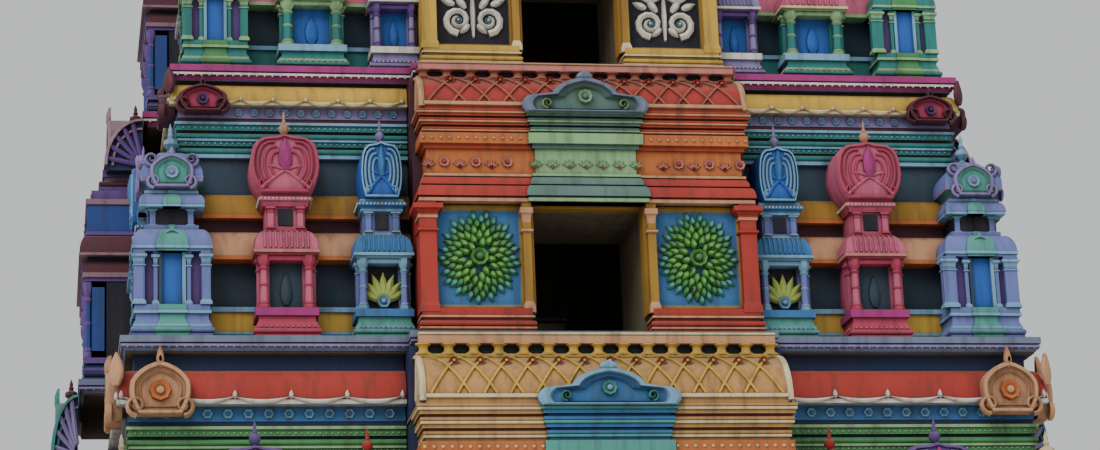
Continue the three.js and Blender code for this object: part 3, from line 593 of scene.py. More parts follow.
def mitres(path: Array, closed: bool) -> Array:
    """The way that each point of a plan path moves when its walls move out by one.

    With n1 and n2 the outward normals of the two walls that meet there,
    m = (n1 + n2) / (1 + n1 . n2). Outward is to the right of travel.

    Args:
        path: plan points (n, 2), counter-clockwise round the masonry.
        closed: whether the last point joins the first.

    Returns:
        One vector for each point.
    """
    step = np.roll(path, -1, axis=0) - path
    normal = np.stack([step[:, 1], -step[:, 0]], axis=-1) / np.linalg.norm(step, axis=1)[:, None]
    before = np.roll(normal, 1, axis=0)
    if not closed:
        normal[-1] = normal[-2]
        before[0] = normal[0]
    return (before + normal) / (1 + np.sum(before * normal, axis=1))[:, None]


def banded(path: Array, stack: list[tuple], base: float = 0.0, closed: bool = True,
           inner: float | None = None, lining: Coat | None = None) -> Shape:
    """Courses of masonry carried round a plan path.

    P(i, j) = path_j + out_i * mitre_j at height base + z_i, where (out_i, z_i) runs
    up the courses one after the other. A closed path without an inner face is solid,
    with a flat lid above and below. With one, the profile goes on over the top, down
    the inner face and back along the bottom, and an open path has both ends closed.

    Args:
        path: plan points, counter-clockwise round the masonry.
        stack: courses from the bottom up, each (moulding, rise, foot, head, coat), the
            head left out where it is as the foot.
        base: height of the bottom.
        closed: whether the path is a ring.
        inner: how far out the inner face lies, below zero for a wall.
        lining: coat of the inner face, if it isn't the top course's.

    Returns:
        The closed shape.
    """
    points: list[tuple[float, float]] = []
    steps: list[Coat] = []
    level = 0.0
    for course in (Course.read(*row) for row in stack):
        curve = course.curve() + (0.0, level)
        if points and abs(points[-1][0] - curve[0, 0]) < 1e-6:
            curve = curve[1:]
        steps.extend([course.coat] * (len(curve) if points else len(curve) - 1))
        points.extend(map(tuple, curve))
        level += course.rise
    if inner is not None:
        points.extend([(inner, level), (inner, 0.0), points[0]])
        steps.extend([steps[-1], lining or steps[-1], steps[0]])
    out, height = np.array(points).T[:, :, None]
    x, y = np.moveaxis(path + out[:, :, None] * mitres(path, closed), -1, 0)
    rows = xyz(x, y, height + base)
    shape = Shape(*strips(rows, steps, closed))
    if inner is None:
        shape.patches += [lid(rows[0], steps[0], True), lid(rows[-1], steps[-1])]
    elif not closed:
        shape.patches += [lid(rows[:-1, 0], steps[0]), lid(rows[:-1, -1], steps[0], True)]
    return shape


def rectangle(x0: float, x1: float, y0: float, y1: float) -> Array:
    """A rectangle's plan path, counter-clockwise."""
    return np.array([(x0, y0), (x1, y0), (x1, y1), (x0, y1)], float)


def block(x0: float, x1: float, y0: float, y1: float, z0: float, z1: float, coat: Coat,
          edge: float = 0.006) -> Shape:
    """A block with worn edges: three courses round a rectangle, the outer two sloped.

    Args:
        x0, x1: left and right.
        y0, y1: front and back.
        z0, z1: bottom and top.
        coat: its coat.
        edge: width of the slope, at most a quarter of the height.

    Returns:
        The closed block.
    """
    soft = min(edge, (z1 - z0) / 4)
    stack = [(FLAT, soft, -soft, 0, coat), (FLAT, z1 - z0 - 2 * soft, 0, coat), (FLAT, soft, 0, -soft, coat)]
    return banded(rectangle(x0, x1, y0, y1), stack, z0)


def embossed(outline: Array, steps: list[tuple], centre: tuple[float, float] = (0.0, 0.0)) -> Shape:
    """A relief that faces -Y, stepped up from an outline.

    P(k, j) = centre + scale_k * (outline_j - centre) in X and Z, at Y = -rise_k.

    Args:
        outline: (x, z) points, counter-clockwise seen from the front.
        steps: (scale, rise, coat) from the back to the front. The coat is the one
            between that step and the one behind it.
        centre: the point that the steps shrink to.

    Returns:
        The closed shape.
    """
    rings = [np.array(centre) + scale * (outline - centre) for scale, _, _ in steps]
    rows = np.stack([xyz(ring[:, 0], -rise, ring[:, 1]) for ring, (_, rise, _) in zip(rings, steps)])
    worn = [coat for _, _, coat in steps[1:]]
    return Shape(*strips(rows, worn, True), lid(rows[0], worn[0], True), lid(rows[-1], worn[-1]))


HALF_ROUND = ((1, -0.2), (0.8, 0.6), (0, 1), (-0.8, 0.6), (-1, -0.2))
SQUARE_BAR = ((1, -0.4), (0.8, 1), (-0.8, 1), (-1, -0.4))
OUT = (0, -1, 0)            # the way out of a relief that faces -Y


def ribbons(paths: Array, normals: Array | tuple, half_width: Array | float, height: float, coat: Coat,
            section: tuple = HALF_ROUND) -> Shape:
    """Raised bars carried along paths.

    P(i, j) = path_i + a_j * half_width_i * side_i + b_j * height * normal_i, where
    (a, b) runs round the section and side = normal x tangent.

    Args:
        paths: (points, 3) for one bar or (bars, points, 3) for many.
        normals: the way out of the surface, for each point or for all.
        half_width: half the bar's width, for each point or for all.
        height: how far it stands out.
        coat: its coat.
        section: the bar's section, counter-clockwise.

    Returns:
        The closed bars.
    """
    lines = paths[None] if paths.ndim == 2 else paths
    bars, count = lines.shape[:2]
    normal = np.broadcast_to(np.asarray(normals, float), lines.shape)
    side = np.cross(normal, np.gradient(lines, axis=1))
    side = side / np.linalg.norm(side, axis=-1, keepdims=True)
    across, up = np.array(section, float).T[:, :, None]
    width = np.broadcast_to(half_width, (bars, count))[:, :, None, None]
    grid = lines[:, :, None] + across * width * side[:, :, None] + up * height * normal[:, :, None]
    corners = len(section)
    start = (np.arange(bars) * count * corners)[:, None]
    faces = (sheet(grid[0], coat, True).faces[None] + start[:, :, None]).reshape(-1, 4)
    ring = start + np.arange(corners)
    points = grid.reshape(-1, 3)
    ends = (ring[:, ::-1], ring + (count - 1) * corners)
    return Shape(Patch(points, faces, coat), *[Patch(points, end, coat) for end in ends])


def arc(*points: tuple[float, float], steps: int = 5) -> Array:
    """A quadratic curve, (1 - t)^2 a + 2 t (1 - t) b + t^2 c.

    Args:
        points: a, b and c.
        steps: how many points it has.

    Returns:
        Points (steps, 2), without c.
    """
    a, b, c = np.array(points, float)
    t = np.arange(steps)[:, None] / steps
    return (1 - t) ** 2 * a + 2 * t * (1 - t) * b + t ** 2 * c


def outline_of(top: float, *arcs: Array) -> Array:
    """An outline from the curves of its right half, going up, its top, and their mirror images."""
    right = np.vstack(arcs)
    return np.vstack([right, [(0, top)], right[::-1] * (-1, 1)])


def horseshoe(foot: float, swell: float, rise: float, steps: int = 5) -> Array:
    """The outline of a nasi: it swells from its foot and closes in a point.

    Args:
        foot: half width at the foot.
        swell: half width where it is widest.
        rise: its height.
        steps: how many points each curve has.

    Returns:
        The outline.
    """
    waist = (swell, rise * 0.62)
    lower = arc((foot, 0), (swell * 1.12, rise * 0.3), waist, steps=steps)
    upper = arc(waist, (swell * 0.72, rise * 0.9), (0, rise), steps=steps)
    return outline_of(rise, lower, upper)


def trefoil(foot: float, swell: float, rise: float) -> Array:
    """The outline of a low gable: a flat-topped lobe on each side of a taller, pointed arch.

    Args:
        foot: half width at the foot.
        swell: half width of the lobes.
        rise: height of the arch.

    Returns:
        The outline.
    """
    lobe = arc((foot, 0), (swell * 1.08, rise * 0.24), (swell * 0.9, rise * 0.46), steps=4)
    flat = arc((swell * 0.9, rise * 0.46), (swell * 0.7, rise * 0.5), (swell * 0.52, rise * 0.54), steps=2)
    arch = arc((swell * 0.52, rise * 0.54), (swell * 0.42, rise * 0.9), (0, rise), steps=6)
    return outline_of(rise, lobe, flat, arch)


def bulb(foot: float, swell: float, rise: float) -> Array:
    """The outline of a shrine's crown: a bulb with two round shoulders under its finial.

    Args:
        foot: half width at the foot.
        swell: half width of the bulb.
        rise: height of the shoulders.

    Returns:
        The outline.
    """
    lower = arc((foot, 0), (swell * 1.1, rise * 0.28), (swell, rise * 0.64), steps=4)
    shoulder = arc((swell, rise * 0.64), (swell * 0.94, rise * 1.02), (swell * 0.4, rise), steps=4)
    neck = arc((swell * 0.4, rise), (swell * 0.2, rise), (swell * 0.12, rise * 1.04), steps=2)
    return outline_of(rise * 1.05, lower, shoulder, neck)


def lobed(radius: float, lobes: int, depth: float, count: int) -> Array:
    """A flower's outline: r = radius * (1 - depth + depth * |cos(lobes * a / 2)|).

    Args:
        radius: reach of the petals.
        lobes: how many petals.
        depth: how far the petals are cut in.
        count: how many points.

    Returns:
        The outline.
    """
    angle = np.arange(count) * 2 * pi / count
    reach = radius * (1 - depth + depth * np.abs(np.cos(lobes * angle / 2)))
    return np.stack([reach * np.cos(angle), reach * np.sin(angle)], axis=-1)


# Ornaments, each facing -Y about its own origin

def rosette(radius: float, petals: int, rise: float, coat: Coat, heart: Coat) -> Shape:
    """A round flower with raised petals and a button in the middle, plainer where it is small.

    Args:
        radius: reach of the petals.
        petals: how many there are.
        rise: how far they stand out.
        coat: the petals' coat.
        heart: the button's coat.

    Returns:
        The flower.
    """
    outline = lobed(radius, petals, 0.16, petals * (3 if radius > 0.07 else 2))
    return embossed(outline, [(1, 0, coat), (0.9, rise, coat), (0.42, rise * 0.5, coat),
                              (0.32, rise * 1.15, heart), (0.14, rise * 1.3, heart)])


def leaf(length: float, half: float, rise: float, coat: Coat) -> Shape:
    """A pointed leaf that stands on the origin, widest a third of the way up and thick in the middle.

    Args:
        length: its length.
        half: half its width.
        rise: how far it stands out.
        coat: its coat.

    Returns:
        The leaf.
    """
    side = arc((half * 0.35, 0), (half * 1.5, length * 0.4), (0, length), steps=4)
    steps = [(1, 0, coat), (0.94, rise * 0.5, coat), (0.4, rise, coat)]
    return embossed(outline_of(length, side), steps, (0, length * 0.4))


def palmette(radius: float, petals: int, rise: float, coat: Coat, heart: Coat) -> Shape:
    """A fan of leaves that spread from a button.

    Args:
        radius: reach of the leaves.
        petals: how many there are.
        rise: how far they stand out.
        coat: the leaves' coat.
        heart: the button's coat.

    Returns:
        The fan.
    """
    tilts = np.linspace(-1.15, 1.15, petals)
    fan = leaf(radius, radius * 0.17, rise, coat).repeated(np.zeros((petals, 3)), 0.0, tilts)
    return Shape(fan, rosette(radius * 0.24, 6, rise * 1.3, heart, heart))


def scroll(radius: float, width: float, rise: float, coat: Coat, turns: float = 1.4) -> Shape:
    """A volute: r = radius * (1 - 0.8 t) at the angle 2 pi turns t, from the outside in.

    Args:
        radius: its reach.
        width: half the bar's width at the outside.
        rise: how far it stands out.
        coat: its coat.
        turns: how often it winds.

    Returns:
        The volute.
    """
    t = np.linspace(0, 1, 18)
    reach, angle = radius * (1 - 0.8 * t), 2 * pi * turns * t - QUARTER
    path = xyz(reach * np.cos(angle), 0.0, reach * np.sin(angle))
    return ribbons(path, OUT, width * (1 - 0.5 * t), rise, coat)


def swag(width: float, sag: float, thick: float, rise: float, coat: Coat) -> Shape:
    """A crescent that hangs: z = -sag * (1 - u^2) for u from -1 to 1, thickest in the middle."""
    u = np.linspace(-1, 1, 9)
    return ribbons(xyz(u * width / 2, 0.0, -sag * (1 - u ** 2)), OUT, thick * (1.05 - u ** 2), rise, coat)


def bead(radius: float, coat: Coat) -> Shape:
    """Half a small ball."""
    return embossed(lobed(radius, 2, 0.0, 6), [(1, 0, coat), (0.62, radius * 0.85, coat)])


def finial(height: float, radius: float, coat: Coat) -> Shape:
    """A small pot and bud on top of a shrine, turned, standing on the origin.

    Args:
        height: its height.
        radius: its reach.
        coat: its coat.

    Returns:
        The finial.
    """
    profile = np.array([
        (0, 0), (0.62, 0), (0.7, 0.05), (0.35, 0.12), (1, 0.3), (0.95, 0.42), (0.3, 0.52), (0.42, 0.6),
        (0.25, 0.68), (0.3, 0.78), (0, 1),
    ])
    return turned(profile * (radius, height), coat)


def column(height: float, radius: float, shaft: Coat, trim: Coat) -> Shape:
    """A small round column with rings at its foot, waist and head, turned.

    Args:
        height: its height.
        radius: about the shaft's radius.
        shaft: the shaft's coat.
        trim: the rings' coat.

    Returns:
        The column.
    """
    profile = np.array([
        (1.35, 0), (1.35, 0.06), (1.1, 0.08), (1.25, 0.11), (0.9, 0.14), (0.8, 0.42), (1.05, 0.45),
        (0.8, 0.48), (0.78, 0.72), (1.15, 0.76), (0.8, 0.8), (1.25, 0.87), (1.45, 0.92), (1.45, 1),
    ])
    steps = [trim] * 4 + [shaft, trim, trim, shaft] + [trim] * 5
    return turned(profile * (radius, height), steps)


def pilaster(half: float, depth: float, height: float, shaft: Coat, trim: Coat) -> Shape:
    """A square post standing on the origin, with a moulded foot and head.

    Args:
        half: half its width.
        depth: how far its front stands out.
        height: its height.
        shaft: the shaft's coat.
        trim: the mouldings' coat.

    Returns:
        The post.
    """
    stack = [
        (FLAT, 0.05, 0.016, trim), (WAVE, 0.05, 0.014, 0, trim), (FLAT, 0.62, 0, shaft),
        (ROUND, 0.03, 0.004, trim), (FLAT, 0.06, 0, shaft), (COVE, 0.08, 0, 0.02, trim),
        (FLAT, 0.05, 0.024, trim), (FLAT, 0.06, 0.008, shaft),
    ]
    return banded(rectangle(-half, half, -depth, 0.05), courses(stack, height))


def nasi(foot: float, swell: float, rise: float, depth: float, paint: tuple[Coat, ...],
         back: float = 0.0, low: bool = False, curled: bool = True) -> Shape:
    """A gable: a raised rim round a hollow with a flower, and a bud on top.

    Args:
        foot: half width at the foot.
        swell: half width where it is widest.
        rise: its height.
        depth: how far the rim stands out.
        paint: coats of the rim, the hollow and the flower.
        back: how far it reaches back into the vault.
        low: a low trefoil in place of a horseshoe.
        curled: whether volutes stand beside it.

    Returns:
        The gable.
    """
    rim, field, heart = paint
    outline = trefoil(foot, swell, rise) if low else horseshoe(foot, swell, rise)
    steps = [
        (1, -back, rim), (1, depth * 0.7, rim), (0.95, depth, rim), (0.84, depth, rim),
        (0.8, depth * 0.6, rim), (0.72, depth * 0.6, field), (0.68, depth * 0.8, field),
        (0.6, depth * 0.4, field),
    ]
    flower = rosette(min(swell, rise / 2) * 0.42, 8, depth * 0.5, heart, rim)
    gable = Shape(
        embossed(outline, steps, (0.0, rise * (0.26 if low else 0.45))),
        flower.placed(0, -depth * 0.4, rise * 0.45),
        leaf(rise * 0.3, swell * 0.16, depth * 0.6, rim).placed(0, -depth * 0.5, rise * 0.9),
    )
    if low:
        curl = scroll(rise * 0.15, rise * 0.04, depth * 0.5, heart)
        curl = curl.placed(swell * 0.6, -depth * 0.6, rise * 0.24)
    else:
        curl = scroll(swell * 0.34, swell * 0.09, depth * 0.5, rim)
        curl = curl.placed(foot * 1.05, -depth * 0.55, swell * 0.3)
    return Shape(gable, curl.both_sides()) if curled else gable


def ranks(path: Array, out: float, height: float, pitch: float, closed: bool = True,
          margin: float = 0.0) -> tuple[Array, Array]:
    """Evenly spaced places along each side of a plan path.

    Args:
        path: plan points, counter-clockwise.
        out: how far out of the path the row stands.
        height: its height.
        pitch: about how far apart the places are.
        closed: whether the path is a ring.
        margin: bare length left at both ends of each side.

    Returns:
        Places (n, 3), and the angle that turns a shape facing -Y outwards at each.
    """
    plan = path + out * mitres(path, closed)
    ends = np.roll(plan, -1, axis=0) if closed else plan[1:]
    places, angles = [], []
    for start, end in zip(plan, ends):
        way = end - start
        length = float(np.hypot(*way))
        count = max(1, round((length - 2 * margin) / pitch))
        t = (margin + (np.arange(count) + 0.5) * (length - 2 * margin) / count) / length
        places.append(xyz(*(start + t[:, None] * way).T, height))
        angles.append(np.full(count, np.arctan2(way[1], way[0])))
    return np.concatenate(places), np.concatenate(angles)


def make_piece(name: str, shape: Shape, node: str) -> None:
    """Makes the Blender object of a piece, at the origin with its place in its mesh.

    Args:
        name: the piece's name.
        shape: its surfaces, in the tower's frame.
        node: the CAD node that it stands for.
    """
    patches = shape.patches
    worn = list(dict.fromkeys(patch.coat for patch in patches))
    starts = np.cumsum([0] + [len(patch.points) for patch in patches])
    points = np.concatenate([patch.points for patch in patches])
    corners = np.concatenate([(patch.faces + start).ravel() for patch, start in zip(patches, starts)])
    counts = [len(patch.faces) for patch in patches]
    sizes = np.repeat([patch.faces.shape[1] for patch in patches], counts)
    numbers = np.repeat([worn.index(patch.coat) for patch in patches], counts)
    mesh = bpy.data.meshes.new(name)
    mesh.vertices.add(len(points))
    mesh.vertices.foreach_set("co", points.astype(np.float32).ravel())
    mesh.loops.add(len(corners))
    mesh.loops.foreach_set("vertex_index", corners.astype(np.int32))
    mesh.polygons.add(len(sizes))
    mesh.polygons.foreach_set("loop_start", (np.cumsum(sizes) - sizes).astype(np.int32))
    mesh.polygons.foreach_set("material_index", numbers.astype(np.int32))
    for coat in worn:
        mesh.materials.append(coat.value.material())
    mesh.update(calc_edges=True)
    mesh.validate()
    mesh.shade_smooth()
    mesh.set_sharp_from_angle(angle=radians(38))
    piece = bpy.data.objects.new(name, mesh)
    bpy.context.scene.collection.objects.link(piece)
    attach(piece, "root")
    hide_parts(node)
    LOG.info("%s: %d triangles", name, shape.triangles())


def make_pair(nodes: tuple[str, str], finish: str, shape: Shape, base: float = 0.0) -> None:
    """Makes two like pieces, the second turned half round the tower's axis.

    Args:
        nodes: the CAD nodes that they stand for.
        finish: the end of their names.
        shape: the first one's surfaces.
        base: height of the shape's origin.
    """
    for node, turn in zip(nodes, (0.0, pi)):
        make_piece(f"{node}_{finish}", shape.placed(z=base, turn=turn), node)


# Small shrines

@dataclass(frozen=True)
class ShrineColours:
    """How a narrow shrine is painted, from its base up."""

    base: Coat
    band: Coat
    posts: Coat
    trim: Coat
    niche: Coat
    eave: Coat
    rim: Coat
    crown: Coat
    flower: Coat
    leaf: Coat
    finial: Coat
    fan: Coat | None = None


PINK_SHRINE = ShrineColours(*coats("ROSE MAGENTA PINK ROSE SLATE PINK SALMON PINK ROSE MAGENTA PEACH"))
BLUE_SHRINE = ShrineColours(*coats("AQUA BLUE PERIWINKLE SKY NIGHT BLUE SKY AZURE SKY BLUE LAVENDER LEAF"))
PURPLE_SHRINE = ShrineColours(*coats(
    "PURPLE LAVENDER LAVENDER PURPLE DARK_GREEN PURPLE CREAM PURPLE LAVENDER MAGENTA PURPLE"))
RED_SHRINE = ShrineColours(*coats("RED ORANGE ROSE RED DEEP_BLUE RED CREAM ROSE ORANGE RED RED YELLOW"))
SEA_SHRINE = ShrineColours(*coats("TEAL SKY TEAL PALE_GREEN AZURE PINK CREAM BLUE TEAL SKY YELLOW"))
LILAC_SHRINE = ShrineColours(*coats(
    "LAVENDER WHITE LAVENDER PURPLE AZURE LAVENDER WHITE LAVENDER PINK PURPLE ORANGE"))
# painted shade: the plum end's coats are picked darker because the tower's ends lie in shade
SHADED_PLUM_END = ShrineColours(*coats(
    "NAVY PURPLE DEEP_BLUE PURPLE NIGHT MAROON MAUVE NAVY PURPLE ROSE MAROON SKY"))
SEA_END = ShrineColours(*coats(
    "DEEP_TEAL NAVY TEAL DEEP_BLUE NIGHT PURPLE TEAL NAVY LAVENDER SKY MAROON LEAF"))


@dataclass
class Panjara:
    """The narrow shrine of a storey, facing -Y with its base's front on Y = 0."""

    colours: ShrineColours
    depth: float
    crown_half: float = 0.24
    crown_swell: float = 0.345
    half: float = 0.285
    body_foot: float = 0.32
    body_top: float = 0.87
    eave_top: float = 1.17
    neck_top: float = 1.40
    crown_foot: float = 1.53
    crown_rise: float = 0.6
    top: float = 2.43

    def base(self) -> Shape:
        """The moulded base, with a row of studs.

        Returns:
            The base.
        """
        c = self.colours
        path = rectangle(-self.half, self.half, 0.04, self.depth)
        stack = [
            (FLAT, 0.045, 0.04, c.base), (ROUND, 0.065, 0.02, c.base), (FLAT, 0.03, 0.028, c.trim),
            (WAVE, 0.05, 0.022, 0.0, c.base), (FLAT, 0.05, 0.0, c.base), (FLAT, 0.08, 0.03, c.band),
        ]
        return Shape(banded(path, stack), bead(0.014, c.rim).along(path, 0.03, 0.125, 0.055, margin=0.02))

    def body(self) -> Shape:
        """Two columns in front of a niche with a bud or a fan in it, under a lintel.

        Returns:
            The body.
        """
        c, foot, top = self.colours, self.body_foot, self.body_top
        rise = top - foot
        if c.fan is None:
            inside = rise - 0.05
            heart = leaf(inside * 0.7, 0.07, 0.03, c.niche).placed(0, 0.185, foot + inside * 0.12)
        else:
            heart = palmette(rise * 0.6, 7, 0.04, c.fan, c.trim).placed(0, 0.16, foot + rise * 0.2)
        return Shape(
            block(-0.165, 0.165, 0.19, self.depth, foot, top, c.niche),
            block(0.165, 0.27, 0.15, self.depth, foot, top, c.posts).both_sides(),
            column(rise, 0.047, c.posts, c.trim).placed(0.225, 0.085, foot).both_sides(),
            pilaster(0.028, 0.0, rise, c.posts, c.trim).placed(0.268, 0.13, foot).both_sides(),
            block(-0.26, 0.26, 0.05, 0.2, top - 0.05, top, c.trim), heart,
        )

    def eave(self) -> Shape:
        """The ribbed roll over the niche, with its rim, and the neck and cornice above it.

        Returns:
            The eave, the neck and the cornice.
        """
        c, foot, low, high = self.colours, self.body_top, self.eave_top, self.neck_top
        path = rectangle(-self.half, self.half, 0.04, self.depth)
        roll = low - foot - 0.09
        stack = [
            (FLAT, 0.022, 0.015, c.trim), (FLAT, 0.03, 0.045, c.rim),
            (ROLL, roll, 0.035, -0.075, c.eave), (FLAT, 0.038, -0.075, c.trim),
        ]
        angle = QUARTER * np.linspace(0.05, 1, 4)
        line = xyz(0.0, 0.11 * (1 - np.cos(angle)) - 0.041, 0.052 + roll * np.sin(angle))
        rib = ribbons(line, xyz(0.0, -np.cos(angle), np.sin(angle)), 0.009, 0.012, c.eave, SQUARE_BAR)
        places, turns = ranks(path, 0.0, foot, 0.056, margin=0.04)
        front = places[:, 1] < self.depth * 0.5
        neck = rectangle(-0.2, 0.2, 0.14, self.depth)
        cornice = [
            (FLAT, 0.025, 0.03, c.trim), (COVE, 0.03, 0.03, 0.06, c.eave),
            (FLAT, 0.04, 0.065, c.eave), (FLAT, 0.035, 0.04, c.trim),
        ]
        return Shape(
            banded(path, stack, foot), rib.repeated(places[front], turns[front]),
            banded(neck, [(FLAT, high - low, 0, c.posts)], low),
            block(-0.075, 0.075, 0.128, 0.2, low + 0.03, high - 0.02, Coat.NIGHT),
            pilaster(0.03, 0.03, high - low, c.posts, c.trim).placed(0.15, 0.14, low).both_sides(),
            banded(neck, cornice, high), bead(0.012, Coat.WHITE).along(neck, 0.065, high + 0.075, 0.04),
        )

    def crown(self) -> Shape:
        """The bulb-shaped crown with its flowers, leaf and crossed bands, and the finial.

        Returns:
            The crown.
        """
        c, rise, swell = self.colours, self.crown_rise, self.crown_swell
        front, waist = 0.045, self.crown_rise * 0.5
        steps = [
            (1, -self.depth, c.crown), (1, -0.08, c.crown), (0.965, -0.04, c.crown),
            (0.9, -0.035, c.trim), (0.86, -0.06, c.crown), (0.6, -0.045, c.crown),
        ]
        outline = bulb(self.crown_half, swell, rise)
        x, z = outline[:len(outline) // 2 - 1].T
        share = np.array([0.78, 0.6, 0.42])[:, None]
        hoops = ribbons(xyz(x * share, front, waist + (z - waist) * share), OUT, 0.014, 0.022, c.flower)
        u = np.linspace(0, 1, 9)
        band = xyz(swell * (0.72 - 1.2 * u), front, rise * (0.07 + 0.4 * np.sin(u * QUARTER)))
        shape = Shape(
            embossed(outline, steps, (0, waist)), hoops.both_sides(),
            ribbons(band, OUT, 0.018, 0.02, c.crown).both_sides(),
            leaf(rise * 0.6, swell * 0.24, 0.05, c.leaf).placed(0, front, rise * 0.38),
            scroll(swell * 0.17, 0.014, 0.02, c.trim).placed(swell * 0.62, front, rise * 0.16).both_sides(),
        )
        tip = self.crown_foot + rise
        bud = finial(self.top - tip, 0.055, c.finial).placed(0, 0.16, tip)
        return Shape(shape.placed(z=self.crown_foot), bud)

    def shape(self) -> Shape:
        """The whole shrine."""
        return Shape(self.base(), self.body(), self.eave(), self.crown())


@dataclass(frozen=True)
class CornerColours:
    """How a corner shrine is painted."""

    corner: Coat
    middle: Coat
    niche: Coat
    flank: Coat
    strip: Coat
    line: Coat
    scroll: Coat


@dataclass
class CornerShrine:
    """The square shrine on a storey's corner, about its own middle, with its street sides at -X and -Y."""

    colours: CornerColours
    top: float
    half: float = 0.40
    body_foot: float = 0.35
    body_top: float = 0.90
    eave_top: float = 1.20
    neck_top: float = 1.38
    dome_foot: float = 1.60
    middle_half: float = 0.165

    def stacks(self) -> list[tuple[float, list[tuple]]]:
        """The courses of the square core, in the corner colour.

        Returns:
            Foot and courses of each stack.
        """
        c = self.colours
        base = [
            (FLAT, 0.05, 0.0, c.corner), (ROUND, 0.07, -0.02, c.corner), (FLAT, 0.03, -0.012, c.line),
            (WAVE, 0.06, -0.02, -0.04, c.corner), (FLAT, 0.05, -0.04, c.corner),
            (FLAT, 0.03, -0.015, c.line), (FLAT, 0.06, -0.025, c.corner),
        ]
        eave = [
            (FLAT, 0.025, -0.015, c.corner), (FLAT, 0.03, 0.0, c.line),
            (ROLL, 0.2, -0.005, -0.125, c.corner), (FLAT, 0.045, -0.13, c.corner),
        ]
        neck = [(FLAT, 0.18, -0.17, Coat.NIGHT)]
        upper = [
            (FLAT, 0.03, -0.075, c.line), (ROLL, 0.12, -0.07, -0.15, c.corner),
            (FLAT, 0.03, -0.13, c.line), (FLAT, 0.04, -0.15, c.corner),
        ]
        dome = [
            (COVE, 0.05, -0.15, -0.09, c.middle), (WAVE, 0.05, -0.09, -0.085, c.scroll),
            (ROLL, 0.22, -0.085, -0.26, c.corner), (FLAT, 0.03, -0.24, c.line),
            (ROLL, 0.07, -0.25, -0.34, c.corner),
        ]
        feet = (0.0, self.body_top, self.eave_top, self.neck_top, self.dome_foot)
        return list(zip(feet, (base, eave, neck, upper, dome)))

    def street_side(self) -> Shape:
        """What stands on one street side, drawn facing -Y.

        Returns:
            The side's middle, niche, posts and gables.
        """
        c, face, foot, top = self.colours, -self.half, self.body_foot, self.body_top
        middle = rectangle(-self.middle_half, self.middle_half, face - 0.012, 0)
        inward = [
            banded(middle, [(*row[:-1], c.middle if row[-1] is c.corner else row[-1]) for row in stack], base)
            for base, stack in self.stacks()[:4]
        ]
        rise = top - foot
        posts = Shape(
            pilaster(0.04, 0.05, rise, c.corner, c.line).placed(0.335, face + 0.075, foot),
            pilaster(0.02, 0.03, rise, c.corner, c.line).placed(0.165, face + 0.09, foot),
            pilaster(0.028, 0.03, 0.18, c.corner, c.line).placed(0.19, face + 0.185, self.eave_top),
        )
        front = nasi(0.17, 0.215, 0.36, 0.05, (c.scroll, c.middle, c.line), back=0.2)
        lower = nasi(0.075, 0.095, 0.16, 0.03, (c.line, c.middle, c.scroll))
        street = rectangle(-0.3, 0.3, face + 0.02, 0.3)[:2]
        return Shape(
            *inward, block(-0.1, 0.1, face + 0.085, -0.2, foot, top, c.niche),
            block(-0.135, -0.1, face + 0.05, -0.2, foot, top, c.strip),
            block(0.1, 0.135, face + 0.05, -0.2, foot, top, Coat.SKY),
            block(-0.29, 0.29, face + 0.1, -0.1, foot, top, c.flank),
            posts.both_sides(), front.placed(0, -0.3, self.dome_foot - 0.02),
            lower.placed(0, face + 0.045, top + 0.07),
            bead(0.011, Coat.WHITE).along(street, 0.0, top + 0.04, 0.05, False),
            scroll(0.07, 0.02, 0.035, c.scroll).placed(0.2, -0.3, self.dome_foot + 0.28).both_sides(),
        )

    def shape(self) -> Shape:
        """The whole shrine.

        Returns:
            The shrine, standing on Z = 0.
        """
        c, half, core = self.colours, self.half, self.half - 0.13
        square = rectangle(-half, half, -half, half)
        street = self.street_side()
        posts = pilaster(0.045, 0.09, self.body_top - self.body_foot, c.corner, c.line)
        places = [(x, y, self.body_foot) for y in (-0.29, 0.38) for x in (-0.335, 0.335)]
        head = self.dome_foot + 0.42
        return Shape(
            *[banded(square, stack, foot) for foot, stack in self.stacks()],
            block(-core, core, -core, core, self.body_foot, self.body_top, c.flank),
            street, street.placed(turn=-QUARTER), posts.repeated(places),
            finial(self.top - head, 0.075, c.line).placed(0, 0, head),
        )


